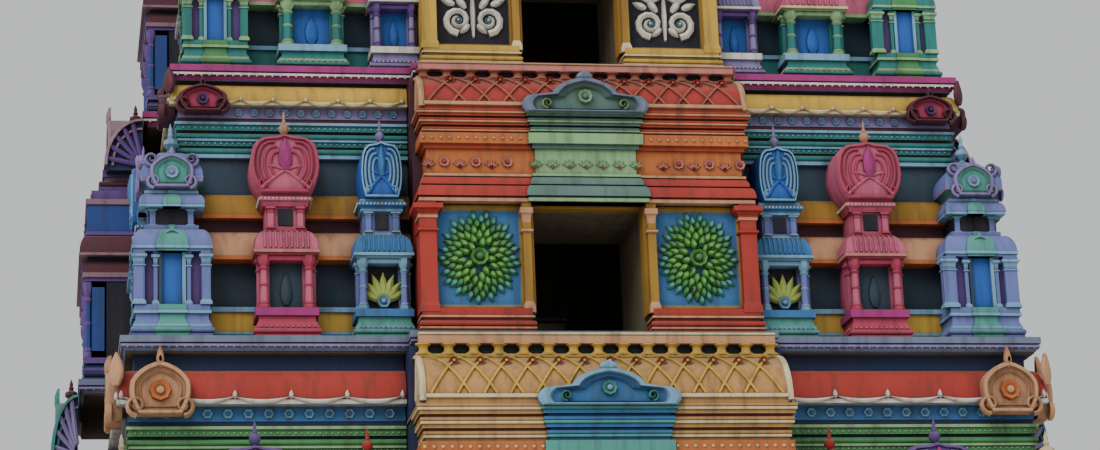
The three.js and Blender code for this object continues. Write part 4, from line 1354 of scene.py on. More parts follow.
@dataclass
class LeaningVault:
    """Half a barrel vault that leans back on the ledge above, with its front towards -Y."""

    half: float
    front: float
    back: float
    foot: float
    rise: float

    def surface(self, x: Array | float, share: Array | float, shrink: Array | float = 1.0
                ) -> tuple[Array, Array]:
        """Points and outward directions on the vault's skin.

        P = (x, back - reach cos a, foot + rise sin a) at the angle a = share of a
        quarter turn, and the way out is (0, -cos a, sin a).

        Args:
            x: places along the vault.
            share: how far up the curve, from 0 at the springing to 1 on top.
            shrink: the curve's size against the vault's.

        Returns:
            Points and directions.
        """
        angle = QUARTER * share
        y = self.back - (self.back - self.front) * shrink * np.cos(angle)
        z = self.foot + self.rise * shrink * np.sin(angle)
        return xyz(x, y, z), xyz(0.0, -np.cos(angle), np.sin(angle))

    def barrel(self, coat: Coat, gap: float = 0.0) -> Shape:
        """The plain body of the vault.

        Args:
            coat: its coat.
            gap: how far to each side of the middle it is left out.

        Returns:
            The closed body.
        """
        rows = [
            np.vstack([
                xyz(x, np.array([self.back, self.front]), self.foot - 0.05),
                self.surface(x, np.linspace(0, 1, 9))[0],
            ])
            for x in (self.half, gap or -self.half)
        ]
        body = Shape(sheet(np.stack(rows), coat, True), lid(rows[0], coat, True), lid(rows[-1], coat))
        return body.both_sides() if gap else body

    def lattice(self, pitch: float, coat: Coat, flower: Coat) -> Shape:
        """Bars that cross in diamonds, each over one pitch and a half, and flowers on the upper crossings.

        Bar i leans as x = (i - n / 2 + 1.5 u) * pitch over the height's share u, and its
        mirror image crosses the others at u = 1/3 and 2/3.

        Args:
            pitch: how far apart the bars stand.
            coat: the bars' coat.
            flower: the flowers' coat.

        Returns:
            Bars and flowers.
        """
        low, high, span = 0.08, 0.86, 1.5
        count = int((2 * self.half - 0.06) / pitch - span) + 1
        start = (np.arange(count) - (count - 1 + span) / 2) * pitch
        share = np.linspace(0, 1, 9)
        x, lean = start[:, None] + share * span * pitch, low + (high - low) * share
        bars = [
            ribbons(*self.surface(sign * x, lean), 0.014, 0.02, coat, SQUARE_BAR) for sign in (-1, 1)
        ]
        spots, ways = self.surface(start + pitch, low + (high - low) * 2 / 3)
        return Shape(*bars, rosette(pitch * 0.2, 8, 0.04, flower, coat).repeated(spots + 0.01 * ways))

    def rims(self, coat: Coat) -> Shape:
        """Bars along the vault, near its springing and near its top.

        Args:
            coat: their coat.

        Returns:
            Both bars.
        """
        ends = np.array([-self.half, self.half])
        lines = [self.surface(ends, share) for share in (0.05, 0.93)]
        return Shape(*[ribbons(*line, 0.022, 0.028, coat, SQUARE_BAR) for line in lines])

    def ribs(self, count: int, coat: Coat, gap: float) -> Shape:
        """Bars up the curve, evenly spaced along the vault.

        Args:
            count: how many there would be without the gap.
            coat: their coat.
            gap: how far to each side of the middle they are left out.

        Returns:
            The bars.
        """
        x = np.linspace(-self.half + 0.05, self.half - 0.05, count)
        paths, ways = self.surface(x[np.abs(x) > gap][:, None], np.linspace(0, 1, 8))
        return ribbons(paths, ways, 0.014, 0.018, coat, SQUARE_BAR)

    def fans(self, hoop: Coat, spoke: Coat) -> Shape:
        """The ribs that fan out over each end of the vault, like an open shell.

        Args:
            hoop: coat of the three curved ribs.
            spoke: coat of the five straight ones.

        Returns:
            Both fans.
        """
        out, shrink = np.array([[0.02, -0.01, -0.04], [1.0, 0.82, 0.62]])[:, :, None]
        hoops = ribbons(*self.surface(self.half + out, np.linspace(0, 1, 9), shrink), 0.035, 0.03, hoop)
        lean = np.array([0.1, 0.28, 0.46, 0.64, 0.82])[:, None]
        lines, _ = self.surface(self.half + 0.015, lean, np.array([0.2, 1.0]))
        return Shape(hoops, ribbons(lines, (1, 0, 0), 0.028, 0.03, spoke)).both_sides()


# Storeys

def box(node: str) -> Array:
    """Lowest and highest corner of a CAD node."""
    return np.array(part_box(node))


@dataclass(frozen=True)
class WallColours:
    """How the wall of a storey is painted behind and above its shrines."""

    base: Coat
    field: Coat
    low_eave: Coat
    high_eave: Coat
    rim: Coat
    upper: Coat
    fillet: Coat
    moulding: Coat
    line: Coat
    band: Coat
    roundel: Coat
    eave: Coat
    scallop: Coat
    recess: Coat


@dataclass(frozen=True)
class BayColours:
    """How the central bay of a storey is painted."""

    base: Coat
    rim: Coat
    post: Coat
    panel: Coat
    relief: Coat
    accent: Coat
    foliage: Coat
    jamb: Coat
    lintel: Coat
    frieze: Coat
    figure: Coat
    band: Coat
    moulding: Coat
    vault: Coat
    lattice: Coat
    strip: Coat
    strip_line: Coat
    nasi: Coat
    nasi_field: Coat


@dataclass(frozen=True, kw_only=True)
class Storey:
    """One storey: the heights of its courses, its colours, and its place from the frame."""

    name: str
    above: str
    zone_top: float         # top of the shrine zone over the storey's ledge
    zone_scale: float       # heights in the shrine zone against the middle storey's
    moulding: float
    band: float
    eave: float
    eave_reach: float
    vault_rise: float
    vault_top: float
    ridge_rise: float       # balustrade over the vault's top
    wall: float
    medallion: float        # size of the gables on the eave against the CAD part's drawing of them
    swag_pitch: float
    middle_width: float     # width of the middle shrines against the middle storey's
    volutes: bool           # whether the panels show volutes in place of foliage
    walls: WallColours
    bays: BayColours
    corners: CornerColours
    shrines: tuple[ShrineColours, ShrineColours]
    end: ShrineColours
    gable: tuple[Coat, ...]
    ledge: tuple[Coat, ...]
    slots: tuple[str, str, str, str]

    STAND_OFF = 0.12        # from the wall core's corner out to the corner shrine's middle
    NASI_REACH = 0.06       # how far the bay's nasi stands out of the bay
    RIM_REACH = 0.04        # how far the end bay's upper rim stands out of its front
    LEDGE_REACH = 0.12      # how far the ledge stands out of the shrines
    MIDDLE_BAY = 1.755      # half the width of the middle storey's central bay
    MIDDLE_FACE = 2.95      # half the middle storey's depth at the face of its shrines
    MIDDLE_END = 1.06       # half the width of the middle storey's end bay
    MIDDLE_RUN = 0.39       # height of the mouldings that the courses are drawn for

    def edges(self, part: str) -> Array:
        """Lowest and highest corner of one of the storey's nodes."""
        return box(f"{self.name}_{part}")

    def across(self, x: float) -> float:
        """A distance across the central bay, from its size on the middle storey."""
        return x * self.bay_half / self.MIDDLE_BAY

    def up(self, z: float) -> float:
        """A height in the shrine zone, from its size on the middle storey."""
        return z * self.zone_scale

    @property
    def base(self) -> float:
        """Height of the storey's ledge."""
        return float(self.edges("floor")[1, 2])

    @property
    def corner_box(self) -> Array:
        """Lowest and highest corner of the front left corner shrine."""
        return self.edges("corner_shrine_front_left")

    @property
    def shrine_half(self) -> float:
        """Half the width of a corner shrine."""
        return float(self.corner_box[1, 0] - self.corner_box[0, 0]) / 2

    @property
    def shrine_place(self) -> Array:
        """Where the corner shrines stand: distance from the middle in X and Y."""
        return -(self.corner_box[0, :2] + self.corner_box[1, :2]) / 2

    @property
    def core(self) -> Array:
        """Half width and half depth of the wall core."""
        return self.shrine_place - self.STAND_OFF

    @property
    def face(self) -> Array:
        """Half width and half depth at the face of the shrines."""
        return self.shrine_place + self.shrine_half

    @property
    def depth_scale(self) -> float:
        """Distances along the end against the middle storey's."""
        return float(self.face[1]) / self.MIDDLE_FACE

    @property
    def run_scale(self) -> float:
        """Heights of the mouldings over the shrine zone against those that are drawn."""
        return self.moulding / self.MIDDLE_RUN

    @property
    def bay_half(self) -> float:
        """Half the width of the central bay."""
        return float(self.edges("front_bay")[1, 0])

    @property
    def bay_front(self) -> float:
        """Where the front of the front bay lies."""
        return float(self.edges("front_bay")[0, 1]) + self.NASI_REACH

    @property
    def bay_back(self) -> float:
        """Where the back of the front bay lies, on the inside of the wall."""
        return -float(self.core[1] - self.wall)

    @property
    def end_half(self) -> float:
        """Half the width of the end bay."""
        return self.MIDDLE_END * self.depth_scale

    @property
    def end_front(self) -> float:
        """How far out the end bay's front lies."""
        return -float(self.edges("wall_left")[0, 0]) - self.RIM_REACH

    @property
    def ledge_above(self) -> Array:
        """Lowest and highest corner of the ledge above."""
        return box(f"{self.above}_floor")

    @property
    def ceiling(self) -> float:
        """Height of the ledge above over this storey's own ledge."""
        return float(self.ledge_above[0, 2]) - self.base

    @property
    def eave_foot(self) -> float:
        """Height of the foot of the eave."""
        return self.zone_top + self.moulding + self.band

    @property
    def vault_foot(self) -> float:
        """Height at which the vaults spring."""
        return self.vault_top - self.vault_rise


@dataclass
class EndBay:
    """The closed bay in the middle of a storey's end, facing -Y with its front on Y = 0."""

    storey: Storey

    @property
    def plan(self) -> Array:
        """The bay's plan, from its front back into the wall."""
        s = self.storey
        return rectangle(-s.end_half, s.end_half, 0, s.end_front - float(s.core[0]) + 0.05)

    def body(self) -> Shape:
        """Three niches between piers with columns, on a moulded base.

        Returns:
            The body.
        """
        s, c = self.storey, self.storey.end
        z, k, plan = s.up, s.depth_scale, self.plan
        base = courses([
            (FLAT, 0.05, -0.02, c.base), (ROUND, 0.07, -0.05, c.base), (FLAT, 0.03, -0.025, c.trim),
            (WAVE, 0.05, -0.03, -0.055, c.base), (FLAT, 0.06, -0.02, c.band),
        ], s.zone_scale)
        low, high, inset = z(0.26), z(1.09), s.end_half - 0.03
        rise = high - low
        post_x = (-0.97, -0.41, -0.28, 0.28, 0.41, 0.97)
        fans = palmette(rise * 0.4, 7, 0.05, c.fan or c.leaf, c.trim)
        return Shape(
            banded(plan, base), block(-inset, inset, 0.23, plan[2, 1], low, high, c.niche),
            block(-inset, inset, 0.1, 0.25, low, z(0.34), c.base),
            block(-inset, inset, 0.1, 0.25, z(1.02), high, c.trim),
            block(0.23 * k, 0.46 * k, 0.1, 0.25, low, high, c.posts).both_sides(),
            block(0.92 * k, inset, 0.1, 0.25, low, high, c.posts).both_sides(),
            column(rise, 0.045, c.posts, c.trim).repeated([(x * k, 0.065, low) for x in post_x]),
            fans.repeated([(x * k, 0.22, z(0.52)) for x in (-0.69, 0, 0.69)]),
        )

    def crest(self) -> Shape:
        """The two rolls of the eave, the frieze and the mouldings up to the vault.

        Returns:
            The courses with their ornaments.
        """
        s, c, z, plan = self.storey, self.storey.end, self.storey.up, self.plan
        stack = courses([
            (FLAT, 0.04, -0.02, c.trim), (FLAT, 0.05, 0.0, c.rim), (ROLL, 0.14, -0.005, -0.06, c.eave),
            (FLAT, 0.04, -0.05, Coat.NIGHT), (FLAT, 0.03, 0.04, c.rim), (ROLL, 0.21, 0.035, -0.06, c.eave),
            (FLAT, 0.04, -0.03, c.trim), (FLAT, 0.3, -0.045, c.posts), (FLAT, 0.06, -0.03, c.rim),
            (FLAT, 0.11, -0.09, c.band),
        ], s.zone_scale) + courses([
            (FLAT, 0.25, -0.17, c.trim), (ROUND, 0.25, -0.2, c.eave), (FLAT, 0.2, -0.23, c.rim),
            (FLAT, 0.3, -0.21, c.trim),
        ], s.vault_foot - z(2.11))
        front = plan[:2]
        return Shape(
            banded(plan, stack, z(1.09)),
            palmette(0.1, 5, 0.02, c.flower, c.trim).along(front, -0.045, z(1.75), 0.26, False, 0.08),
            bead(0.014, c.rim).along(front, -0.09, z(2.055), 0.08, False, 0.05),
            block(-0.01, 0.01, -0.02, 0.02, 0, z(0.11), c.trim, 0.004).along(
                front, -0.01, z(1.2), 0.09, False, 0.05),
        )

    def shape(self) -> Shape:
        """The whole bay, in the storey's own heights.

        Returns:
            The bay.
        """
        s, c, k, foot = self.storey, self.storey.end, self.storey.depth_scale, self.storey.vault_foot
        back = s.end_front + float(s.ledge_above[0, 0])
        vault = LeaningVault(s.end_half - 0.06, 0.25, back, foot, s.vault_rise)
        rise, gap = s.up(0.85), 0.5 * k
        paint = (c.rim, c.crown, c.flower)
        return Shape(
            self.body(), self.crest(), vault.barrel(c.crown, gap), vault.ribs(15, c.trim, gap + 0.03),
            vault.rims(c.rim), vault.fans(c.rim, c.flower),
            nasi(gap, 0.62 * k, rise, 0.09, paint, back - 0.36, curled=False).placed(0, 0.36, foot - 0.03),
            palmette(0.26 * k, 7, 0.05, c.fan or c.leaf, c.flower).placed(0, 0.31, foot + rise * 0.12),
            finial(0.26, 0.07, c.finial).repeated(
                [(x * k, back - 0.07, s.vault_top - 0.02) for x in (-0.85, 0.85)]),
        )


@dataclass
class StoreyWall:
    """The left end wall of a storey with its narrow shrines, end bay and entablature."""

    storey: Storey

    def path(self) -> Array:
        """The wall core's plan, from the rear bay round the left end to the front bay."""
        (x, y), bay = self.storey.core, self.storey.bay_half
        return np.array([(-bay, y), (-x, y), (-x, -y), (-bay, -y)])

    def stack(self) -> list[tuple]:
        """The courses of the wall, from the ledge to the next one.

        Returns:
            Rows from the bottom up.
        """
        s, c, reach = self.storey, self.storey.walls, self.storey.eave_reach
        rows = courses([
            (FLAT, 0.04, 0.12, c.line), (ROUND, 0.1, 0.08, c.base), (FLAT, 0.03, 0.11, c.line),
            (FLAT, 0.2, 0.1, c.base), (FLAT, 0.05, 0.13, c.line), (FLAT, 0.48, 0.0, c.field),
            (FLAT, 0.04, 0.2, c.rim), (ROLL, 0.29, 0.19, 0.03, c.low_eave), (FLAT, 0.13, 0.0, c.recess),
            (FLAT, 0.04, 0.11, c.rim), (ROLL, 0.23, 0.1, 0.02, c.high_eave),
        ], s.zone_scale)
        rows.append((FLAT, s.zone_top - sum(row[1] for row in rows), 0.0, c.upper))
        rows += courses([
            (FLAT, 0.035, 0.05, c.fillet), (ROUND, 0.06, 0.035, c.moulding), (FLAT, 0.025, 0.005, c.recess),
            (FLAT, 0.045, 0.03, c.moulding), (FLAT, 0.02, 0.05, c.line), (ROUND, 0.055, 0.035, c.moulding),
            (FLAT, 0.025, 0.005, c.recess), (FLAT, 0.055, 0.055, c.moulding), (FLAT, 0.025, 0.075, c.line),
            (FLAT, 0.045, 0.03, c.recess),
        ], s.run_scale)
        rows.append((FLAT, s.band, 0.04, c.band))
        rows += courses([(FLAT, 0.12, reach, c.scallop), (ROLL, 0.88, reach - 0.008, 0.05, c.eave)], s.eave)
        rows.append((FLAT, s.ceiling - sum(row[1] for row in rows), 0.0, c.recess))
        return rows

    def trim(self) -> Shape:
        """Rows of dots, roundels and crescents on the entablature.

        Returns:
            The ornaments.
        """
        s, c, path, foot = self.storey, self.storey.walls, self.path(), self.storey.zone_top
        pitch, reach, eave, e = s.swag_pitch, s.eave_reach, s.eave_foot, s.eave
        dot = bead(0.014, c.line)
        roundel = rosette(s.band * 0.38, 6, 0.02, c.roundel, c.band)
        hanging = swag(pitch * 0.96, e * 0.14, 0.024, 0.022, c.scallop)
        hook = leaf(e * 0.26, 0.03, 0.03, c.scallop)
        return Shape(
            dot.along(path, 0.03, foot + 0.145 * s.run_scale, 0.06, False, 0.04),
            dot.along(path, 0.055, foot + 0.29 * s.run_scale, 0.06, False, 0.04),
            roundel.along(path, 0.04, foot + s.moulding + s.band / 2, s.band * 1.3, False, 0.06),
            hanging.along(path, reach + 0.004, eave + e * 0.2, pitch, False, 0.05),
            hook.along(path, reach - 0.01, eave + e * 0.14, pitch, False, 0.05 - pitch / 2),
        )

    def medallions(self) -> Shape:
        """The arched gables on the eave near each corner, and the leaf on the corner itself.

        Returns:
            The gables and leaves.
        """
        s, k, rim = self.storey, self.storey.medallion, self.storey.gable[0]
        foot = s.eave_foot - s.band * 0.8
        rise = (s.ceiling - 0.02 - foot) * 0.86
        gable = nasi(0.19 * k, 0.255 * k, rise, 0.1, s.gable, back=0.06)
        tip = leaf(rise * 0.45, 0.04 * k, 0.07, rim).placed(0, -0.04, rise * 0.86)
        x, y = s.core - 0.22 * k
        end, front = s.core + s.eave_reach
        places = [(-x, -front, foot), (-x, front, foot), (-end, -y, foot), (-end, y, foot)]
        blade = leaf(0.3 * k, 0.09 * k, 0.04, rim)
        corner = Shape(blade, blade.placed(turn=pi)).repeated(
            [(-end, side * front, s.eave_foot + s.eave * 0.5) for side in (-1, 1)], [-pi / 4, pi / 4])
        return Shape(Shape(gable, tip).repeated(places, [0, pi, -QUARTER, -QUARTER]), corner)

    def shape(self) -> Shape:
        """The whole wall, in the storey's own heights.

        On the middle storey the narrow shrines stand 3.06, 2.08 and 1.575 m from the tower's axes.

        Returns:
            The wall.
        """
        s, k, along = self.storey, self.storey.zone_scale, self.storey.depth_scale
        (x, y), wide = s.face, s.shrine_half / CornerShrine.half
        deep = float(y - s.core[1]) + 0.1
        middle, inner = s.shrines
        rows = (
            (Panjara(middle, deep), 3.06 * wide, (wide * s.middle_width, 1, k)),
            (Panjara(inner, deep, 0.185, 0.225), 2.08 * wide, (wide * 0.93, 1, k * 0.97)),
        )
        side = [(-x, sign * 1.575 * along, 0) for sign in (-1, 1)]
        return Shape(
            banded(self.path(), self.stack(), 0.0, False, -s.wall, Coat.UMBER), self.trim(),
            self.medallions(),
            *[shrine.shape().repeated([(-place, -y, 0), (-place, y, 0)], [0, pi], 0.0, size)
              for shrine, place, size in rows],
            Panjara(inner, deep, 0.225, 0.325).shape().repeated(side, -QUARTER, 0.0, (0.89 * along, 1, k)),
            EndBay(s).shape().placed(-s.end_front, 0, 0, -QUARTER),
        )


@dataclass
class CentralBay:
    """The central bay of a storey, facing -Y: doorway, panels, lintel, frieze and half a barrel vault."""

    storey: Storey

    def lower(self) -> Shape:
        """Bases, posts, panels and the lined doorway.

        Returns:
            Everything below the lintel.
        """
        s, c = self.storey, self.storey.bays
        x, z, bay, front, back = s.across, s.up, s.bay_half, s.bay_front, s.bay_back
        door, wall = x(0.6), front + 0.17
        base = courses([
            (FLAT, 0.04, 0.0, c.base), (FLAT, 0.02, 0.012, c.rim), (ROUND, 0.07, -0.02, c.base),
            (FLAT, 0.03, -0.03, c.base), (FLAT, 0.02, 0.0, c.rim), (FLAT, 0.08, -0.02, c.base),
        ], s.zone_scale)
        half, tall = x(0.42), z(0.495)
        panel = embossed(rectangle(-half, half, -tall, tall), [
            (1.1, 0, c.jamb), (1.1, 0.05, c.jamb), (1.05, 0.055, c.jamb), (1.0, 0.03, c.jamb),
            (0.97, 0.025, c.panel),
        ])
        relief = self.volutes(half, tall) if s.volutes else self.foliage(half, tall)
        capital = banded(rectangle(-x(0.1), x(0.1), -0.15, 0.1), courses([
            (FLAT, 0.03, 0.0, c.rim), (COVE, 0.06, 0.0, 0.045, c.lintel), (FLAT, 0.05, 0.05, c.lintel),
        ], s.zone_scale), z(0.98))
        foot, rise = z(0.22), z(1.165)
        post = Shape(pilaster(x(0.085), 0.14, rise, c.post, c.post), capital)
        side = Shape(
            banded(rectangle(door, bay, front, back + 0.1), base),
            block(door, bay - 0.01, wall, back, z(0.2), z(1.4), c.post),
            Shape(panel, relief).placed(x(1.13), wall, z(0.815)), post.placed(x(1.655), wall, foot),
            pilaster(x(0.042), 0.13, rise, c.jamb, c.rim).placed(x(0.645), wall, foot),
            block(door - 0.03, door + 0.03, front + 0.09, front + 0.3, z(0.22), z(1.36), c.jamb),
            block(door - 0.01, door + 0.03, front + 0.3, back + 0.01, 0.0, z(1.36), Coat.UMBER),
        )
        head = block(-bay + 0.02, bay - 0.02, wall, back, z(1.35), z(1.5), c.jamb)
        soffit = block(-door, door, front + 0.3, back + 0.01, z(1.34), z(1.4), Coat.UMBER)
        return Shape(side.both_sides(), head, soffit)

    def foliage(self, half: float, tall: float) -> Shape:
        """A round bush of leaves that fills a side panel, with a flower in its middle.

        Leaf i of n stands at the share sqrt(i / n) of the way out, at i golden angles of
        pi * (3 - sqrt 5), and points outwards.

        Args:
            half: half the panel's width.
            tall: half its height.

        Returns:
            The bush.
        """
        c, count = self.storey.bays, 96
        number = np.arange(3, count)
        out, angle = np.sqrt(number / count), number * pi * (3 - 5 ** 0.5)
        x, z = 0.8 * half * out * np.cos(angle), 0.8 * tall * out * np.sin(angle)
        spots = xyz(x, 0.02 - 0.05 * (1 - out), z)
        sprig = Shape(*[
            leaf(half * 0.3, half * 0.105, 0.06, coat).repeated(spots[part], 0.0, (angle - QUARTER)[part])
            for part, coat in ((slice(38), c.relief), (slice(38, 68), c.accent), (slice(68, None), c.foliage))
        ])
        flower = rosette(half * 0.24, 9, 0.09, c.relief, c.accent).placed(0, -0.02, 0)
        buds = rosette(half * 0.07, 5, 0.09, c.relief, c.accent).repeated(spots[8::9] * (0.9, 1, 0.9))
        return Shape(sprig.placed(0, -0.02, 0), flower, buds)

    def volutes(self, half: float, tall: float) -> Shape:
        """Two pairs of mirrored volutes on a leafy stem, standing in a side panel.

        Args:
            half: half the panel's width.
            tall: half its height.

        Returns:
            The volutes with their stem and flowers.
        """
        c, x, z = self.storey.bays, half * 0.42, tall * 0.42
        curl = scroll(half * 0.38, half * 0.115, 0.06, c.relief, 1.5)
        sprays = ((0.55, 0.2, -0.12, -0.6), (0.45, 0.5, -0.02, -1.2), (0.4, 0.12, -0.5, -2.4))
        lower = Shape(curl.placed(x, -0.02, -z), *[
            leaf(half * size, half * 0.13, 0.05, c.relief).placed(half * px, -0.02, tall * pz, tilt=tilt)
            for size, px, pz, tilt in sprays
        ])
        buds = [(sx * x, -0.02, sz * z) for sx in (-1, 1) for sz in (-1, 1)]
        return Shape(
            lower.both_sides(), curl.placed(x, -0.02, z, tilt=pi).both_sides(),
            leaf(tall * 1.5, half * 0.09, 0.05, c.relief).placed(0, -0.02, -tall * 0.85),
            rosette(half * 0.12, 8, 0.05, c.accent, c.relief).repeated(buds),
        )

    def upper(self) -> Shape:
        """Lintel eave, frieze, band and the fine mouldings up to the vault.

        A strip in the middle, over the doorway, stands out a little in coats of its own.

        Returns:
            Everything between the posts and the vault.
        """
        s, c, z = self.storey, self.storey.bays, self.storey.up
        bay, front, back, strip_half = s.bay_half, s.bay_front, s.bay_back, s.across(0.61)
        lintel = courses([
            (FLAT, 0.035, -0.015, c.rim), (FLAT, 0.02, -0.04, c.lintel), (ROLL, 0.12, 0.0, -0.05, c.lintel),
            (FLAT, 0.015, -0.08, c.lintel), (ROLL, 0.095, -0.05, -0.12, c.lintel),
        ], s.zone_scale)
        frieze = courses([
            (FLAT, 0.025, -0.08, c.rim), (FLAT, 0.27, -0.115, c.frieze), (FLAT, 0.045, -0.085, c.moulding),
            (FLAT, 0.11, -0.045, c.band),
        ], s.zone_scale)
        cap = z(2.11)
        fine = courses([
            row for out in (-0.09, -0.06, -0.03) for row in (
                (FLAT, 0.3, out, c.moulding), (FLAT, 0.18, out + 0.02, c.rim),
                (ROUND, 0.34, out + 0.002, c.moulding), (FLAT, 0.18, out - 0.02, c.lintel))
        ], (s.vault_foot - cap) / 3)
        recolour = {c.lintel: c.strip, c.frieze: c.strip, c.band: c.strip_line, c.moulding: c.strip,
                    c.rim: c.strip_line}
        parts = []
        for foot, stack in ((z(1.375), lintel), (z(1.66), frieze), (cap, fine)):
            strip = [
                (*row[:2], *[out + 0.03 for out in row[2:-1]], recolour.get(row[-1], row[-1]))
                for row in stack
            ]
            parts += [
                banded(rectangle(-bay, bay, front, back), stack, foot),
                banded(rectangle(-strip_half, strip_half, front, back), strip, foot),
            ]
        row = z(1.815)
        path = np.array([(-bay, front), (bay, front)])
        places, _ = ranks(path, -0.115, row, 0.16, False, 0.05)
        places = places[np.abs(places[:, 0]) > strip_half + 0.04]
        middle = path * (strip_half / bay, 1)
        return Shape(
            *parts, palmette(0.085, 5, 0.02, c.figure, c.lintel).repeated(places[::2] - (0, 0, 0.05)),
            rosette(0.06, 8, 0.03, c.figure, c.lintel).repeated(places[1::2]),
            palmette(0.085, 5, 0.02, c.strip_line, c.rim).along(middle, -0.085, row - 0.05, 0.18, False),
            bead(0.02, c.rim).along(path, -0.045, z(2.055), 0.09, False, 0.03),
        )

    def vault(self) -> Shape:
        """Half a barrel vault that leans on the ledge above, with a low gable and a balustrade.

        Returns:
            The vault.
        """
        s, c, x = self.storey, self.storey.bays, self.storey.across
        front, back, half, foot = s.bay_front, self.back, s.bay_half - 0.09, s.vault_foot
        vault = LeaningVault(half, front + 0.02, back, foot, s.vault_rise - 0.09)
        paint = (c.nasi, c.nasi_field, c.strip_line)
        gable = nasi(x(0.62), x(0.66), 0.38, 0.1, paint, (back - front) * 0.8, low=True)
        return Shape(
            vault.barrel(c.vault), vault.lattice(0.26, c.lattice, c.lintel), vault.rims(c.rim),
            vault.fans(c.rim, c.rim), gable.placed(0, front + 0.03, foot - 0.06), self.balustrade(half),
        )

    @property
    def back(self) -> float:
        """Where the ledge above stops the vault."""
        return float(self.storey.ledge_above[0, 1])

    def balustrade(self, half: float) -> Shape:
        """The row of small posts on top of the vault, between two rails, before a dark ground.

        Args:
            half: half its length.

        Returns:
            The balustrade.
        """
        s, c, back = self.storey, self.storey.bays, self.back
        foot, top = s.vault_top - 0.1, s.vault_top + s.ridge_rise
        rise = top - foot
        xs = np.linspace(-half + 0.05, half - 0.05, round(2 * half / 0.235))
        post = turned(np.array([
            (0.085, 0), (0.085, 0.12), (0.055, 0.28), (0.045, 0.5), (0.055, 0.72), (0.085, 0.88), (0.085, 1),
        ]), c.lattice)
        return Shape(
            block(-half, half, back - 0.1, back, foot, foot + rise * 0.16, c.lattice),
            block(-half, half, back - 0.1, back, top - rise * 0.44, top - rise * 0.1, c.figure),
            block(-half, half, back - 0.11, back, top - rise * 0.1, top, c.rim),
            block(-half, half, back - 0.02, back, foot, top - 0.01, Coat.NIGHT),
            post.repeated(xyz(xs, back - 0.06, foot + rise * 0.14), 0.0, 0.0, (1, 0.6, rise * 0.44)),
        )

    def shape(self) -> Shape:
        """The whole bay, in the storey's own heights, with the masonry behind its front.

        Returns:
            The bay.
        """
        s, half, inner = self.storey, self.storey.bay_half - 0.01, self.storey.bay_half - 0.17
        front, back, ledge, foot, top = s.bay_front, s.bay_back, self.back, s.up(1.45), s.ceiling - 0.005
        return Shape(
            self.lower(), self.upper(), self.vault(),
            block(-half, half, ledge, back, foot, top, s.walls.recess),
            block(-half, half, back - 0.05, back + 0.003, foot, top, Coat.UMBER),
            block(s.across(0.6), half, back - 0.05, back + 0.003, 0.0, foot, Coat.UMBER).both_sides(),
            block(-inner, inner, front + 0.14, ledge + 0.1, foot, s.vault_foot, s.bays.moulding),
        )


@dataclass
class Ledge:
    """A floor slab, run as a ledge with a row of studs on its edge."""

    node: str
    paint: tuple[Coat, ...]

    def shape(self, wall: Array | None = None, steps: tuple[float, float] = (0.0, 0.0)) -> Shape:
        """The slab with its studs, in the tower's frame.

        Args:
            wall: half width and half depth of the ledge along the walls, if it steps out
                under the bays to the whole size of the slab.
            steps: half width of the step at the front, and half depth of the one at the end.

        Returns:
            The slab, a plain rectangle where no wall is given.
        """
        edge, face, stud = self.paint
        low, (x, y, top) = box(self.node)
        path, base, thick = rectangle(-x, x, -y, y), low[2], top - low[2]
        if wall is not None:
            (wall_x, wall_y), (a, b) = wall, steps
            right = np.array([
                (a, -y), (a, -wall_y), (wall_x, -wall_y), (wall_x, -b), (x, -b),
                (x, b), (wall_x, b), (wall_x, wall_y), (a, wall_y), (a, y),
            ])
            path = np.vstack([right, -right])
        stack = [(FLAT, 0.004, -0.06, Coat.UMBER), (FLAT, thick * 0.1 - 0.004, -0.06, edge)] + courses([
            (COVE, 0.24, -0.055, -0.015, face), (FLAT, 0.14, -0.008, stud), (FLAT, 0.1, -0.02, edge),
            (FLAT, 0.42, 0.0, face),
        ], thick)
        studs = bead(thick * 0.075, stud).along(path, -0.015, base + thick * 0.3, 0.08, True, 0.02)
        return Shape(banded(path, stack, base), studs)


@dataclass
class StoreyBuilder:
    """Builds every piece of one storey."""

    storey: Storey

    def build(self) -> None:
        """Builds the ledge, the walls, the bays and the corner shrines."""
        s, name = self.storey, self.storey.name
        steps = (s.bay_half + s.LEDGE_REACH, s.end_half + s.LEDGE_REACH)
        ledge = Ledge(f"{name}_floor", s.ledge).shape(s.face + s.LEDGE_REACH, steps)
        make_piece(f"{name}_ledge", ledge, f"{name}_floor")
        walls, bays = (f"{name}_wall_left", f"{name}_wall_right"), (f"{name}_front_bay", f"{name}_rear_bay")
        make_pair(walls, "plaster", StoreyWall(s).shape(), s.base)
        make_pair(bays, "plaster", CentralBay(s).shape(), s.base)
        x, y = s.shrine_place
        shrine = CornerShrine(s.corners, float(s.corner_box[1, 2] - s.base) / s.zone_scale).shape()
        wide = s.shrine_half / CornerShrine.half
        corners = {"front_left": (-x, -y, 0.0), "front_right": (x, -y, QUARTER),
                   "rear_right": (x, y, pi), "rear_left": (-x, y, -QUARTER)}
        for corner, (px, py, turn) in corners.items():
            node = f"{name}_corner_shrine_{corner}"
            piece = shrine.placed(px, py, s.base, turn, (wide, wide, s.zone_scale))
            make_piece(f"{node}_plaster", piece, node)


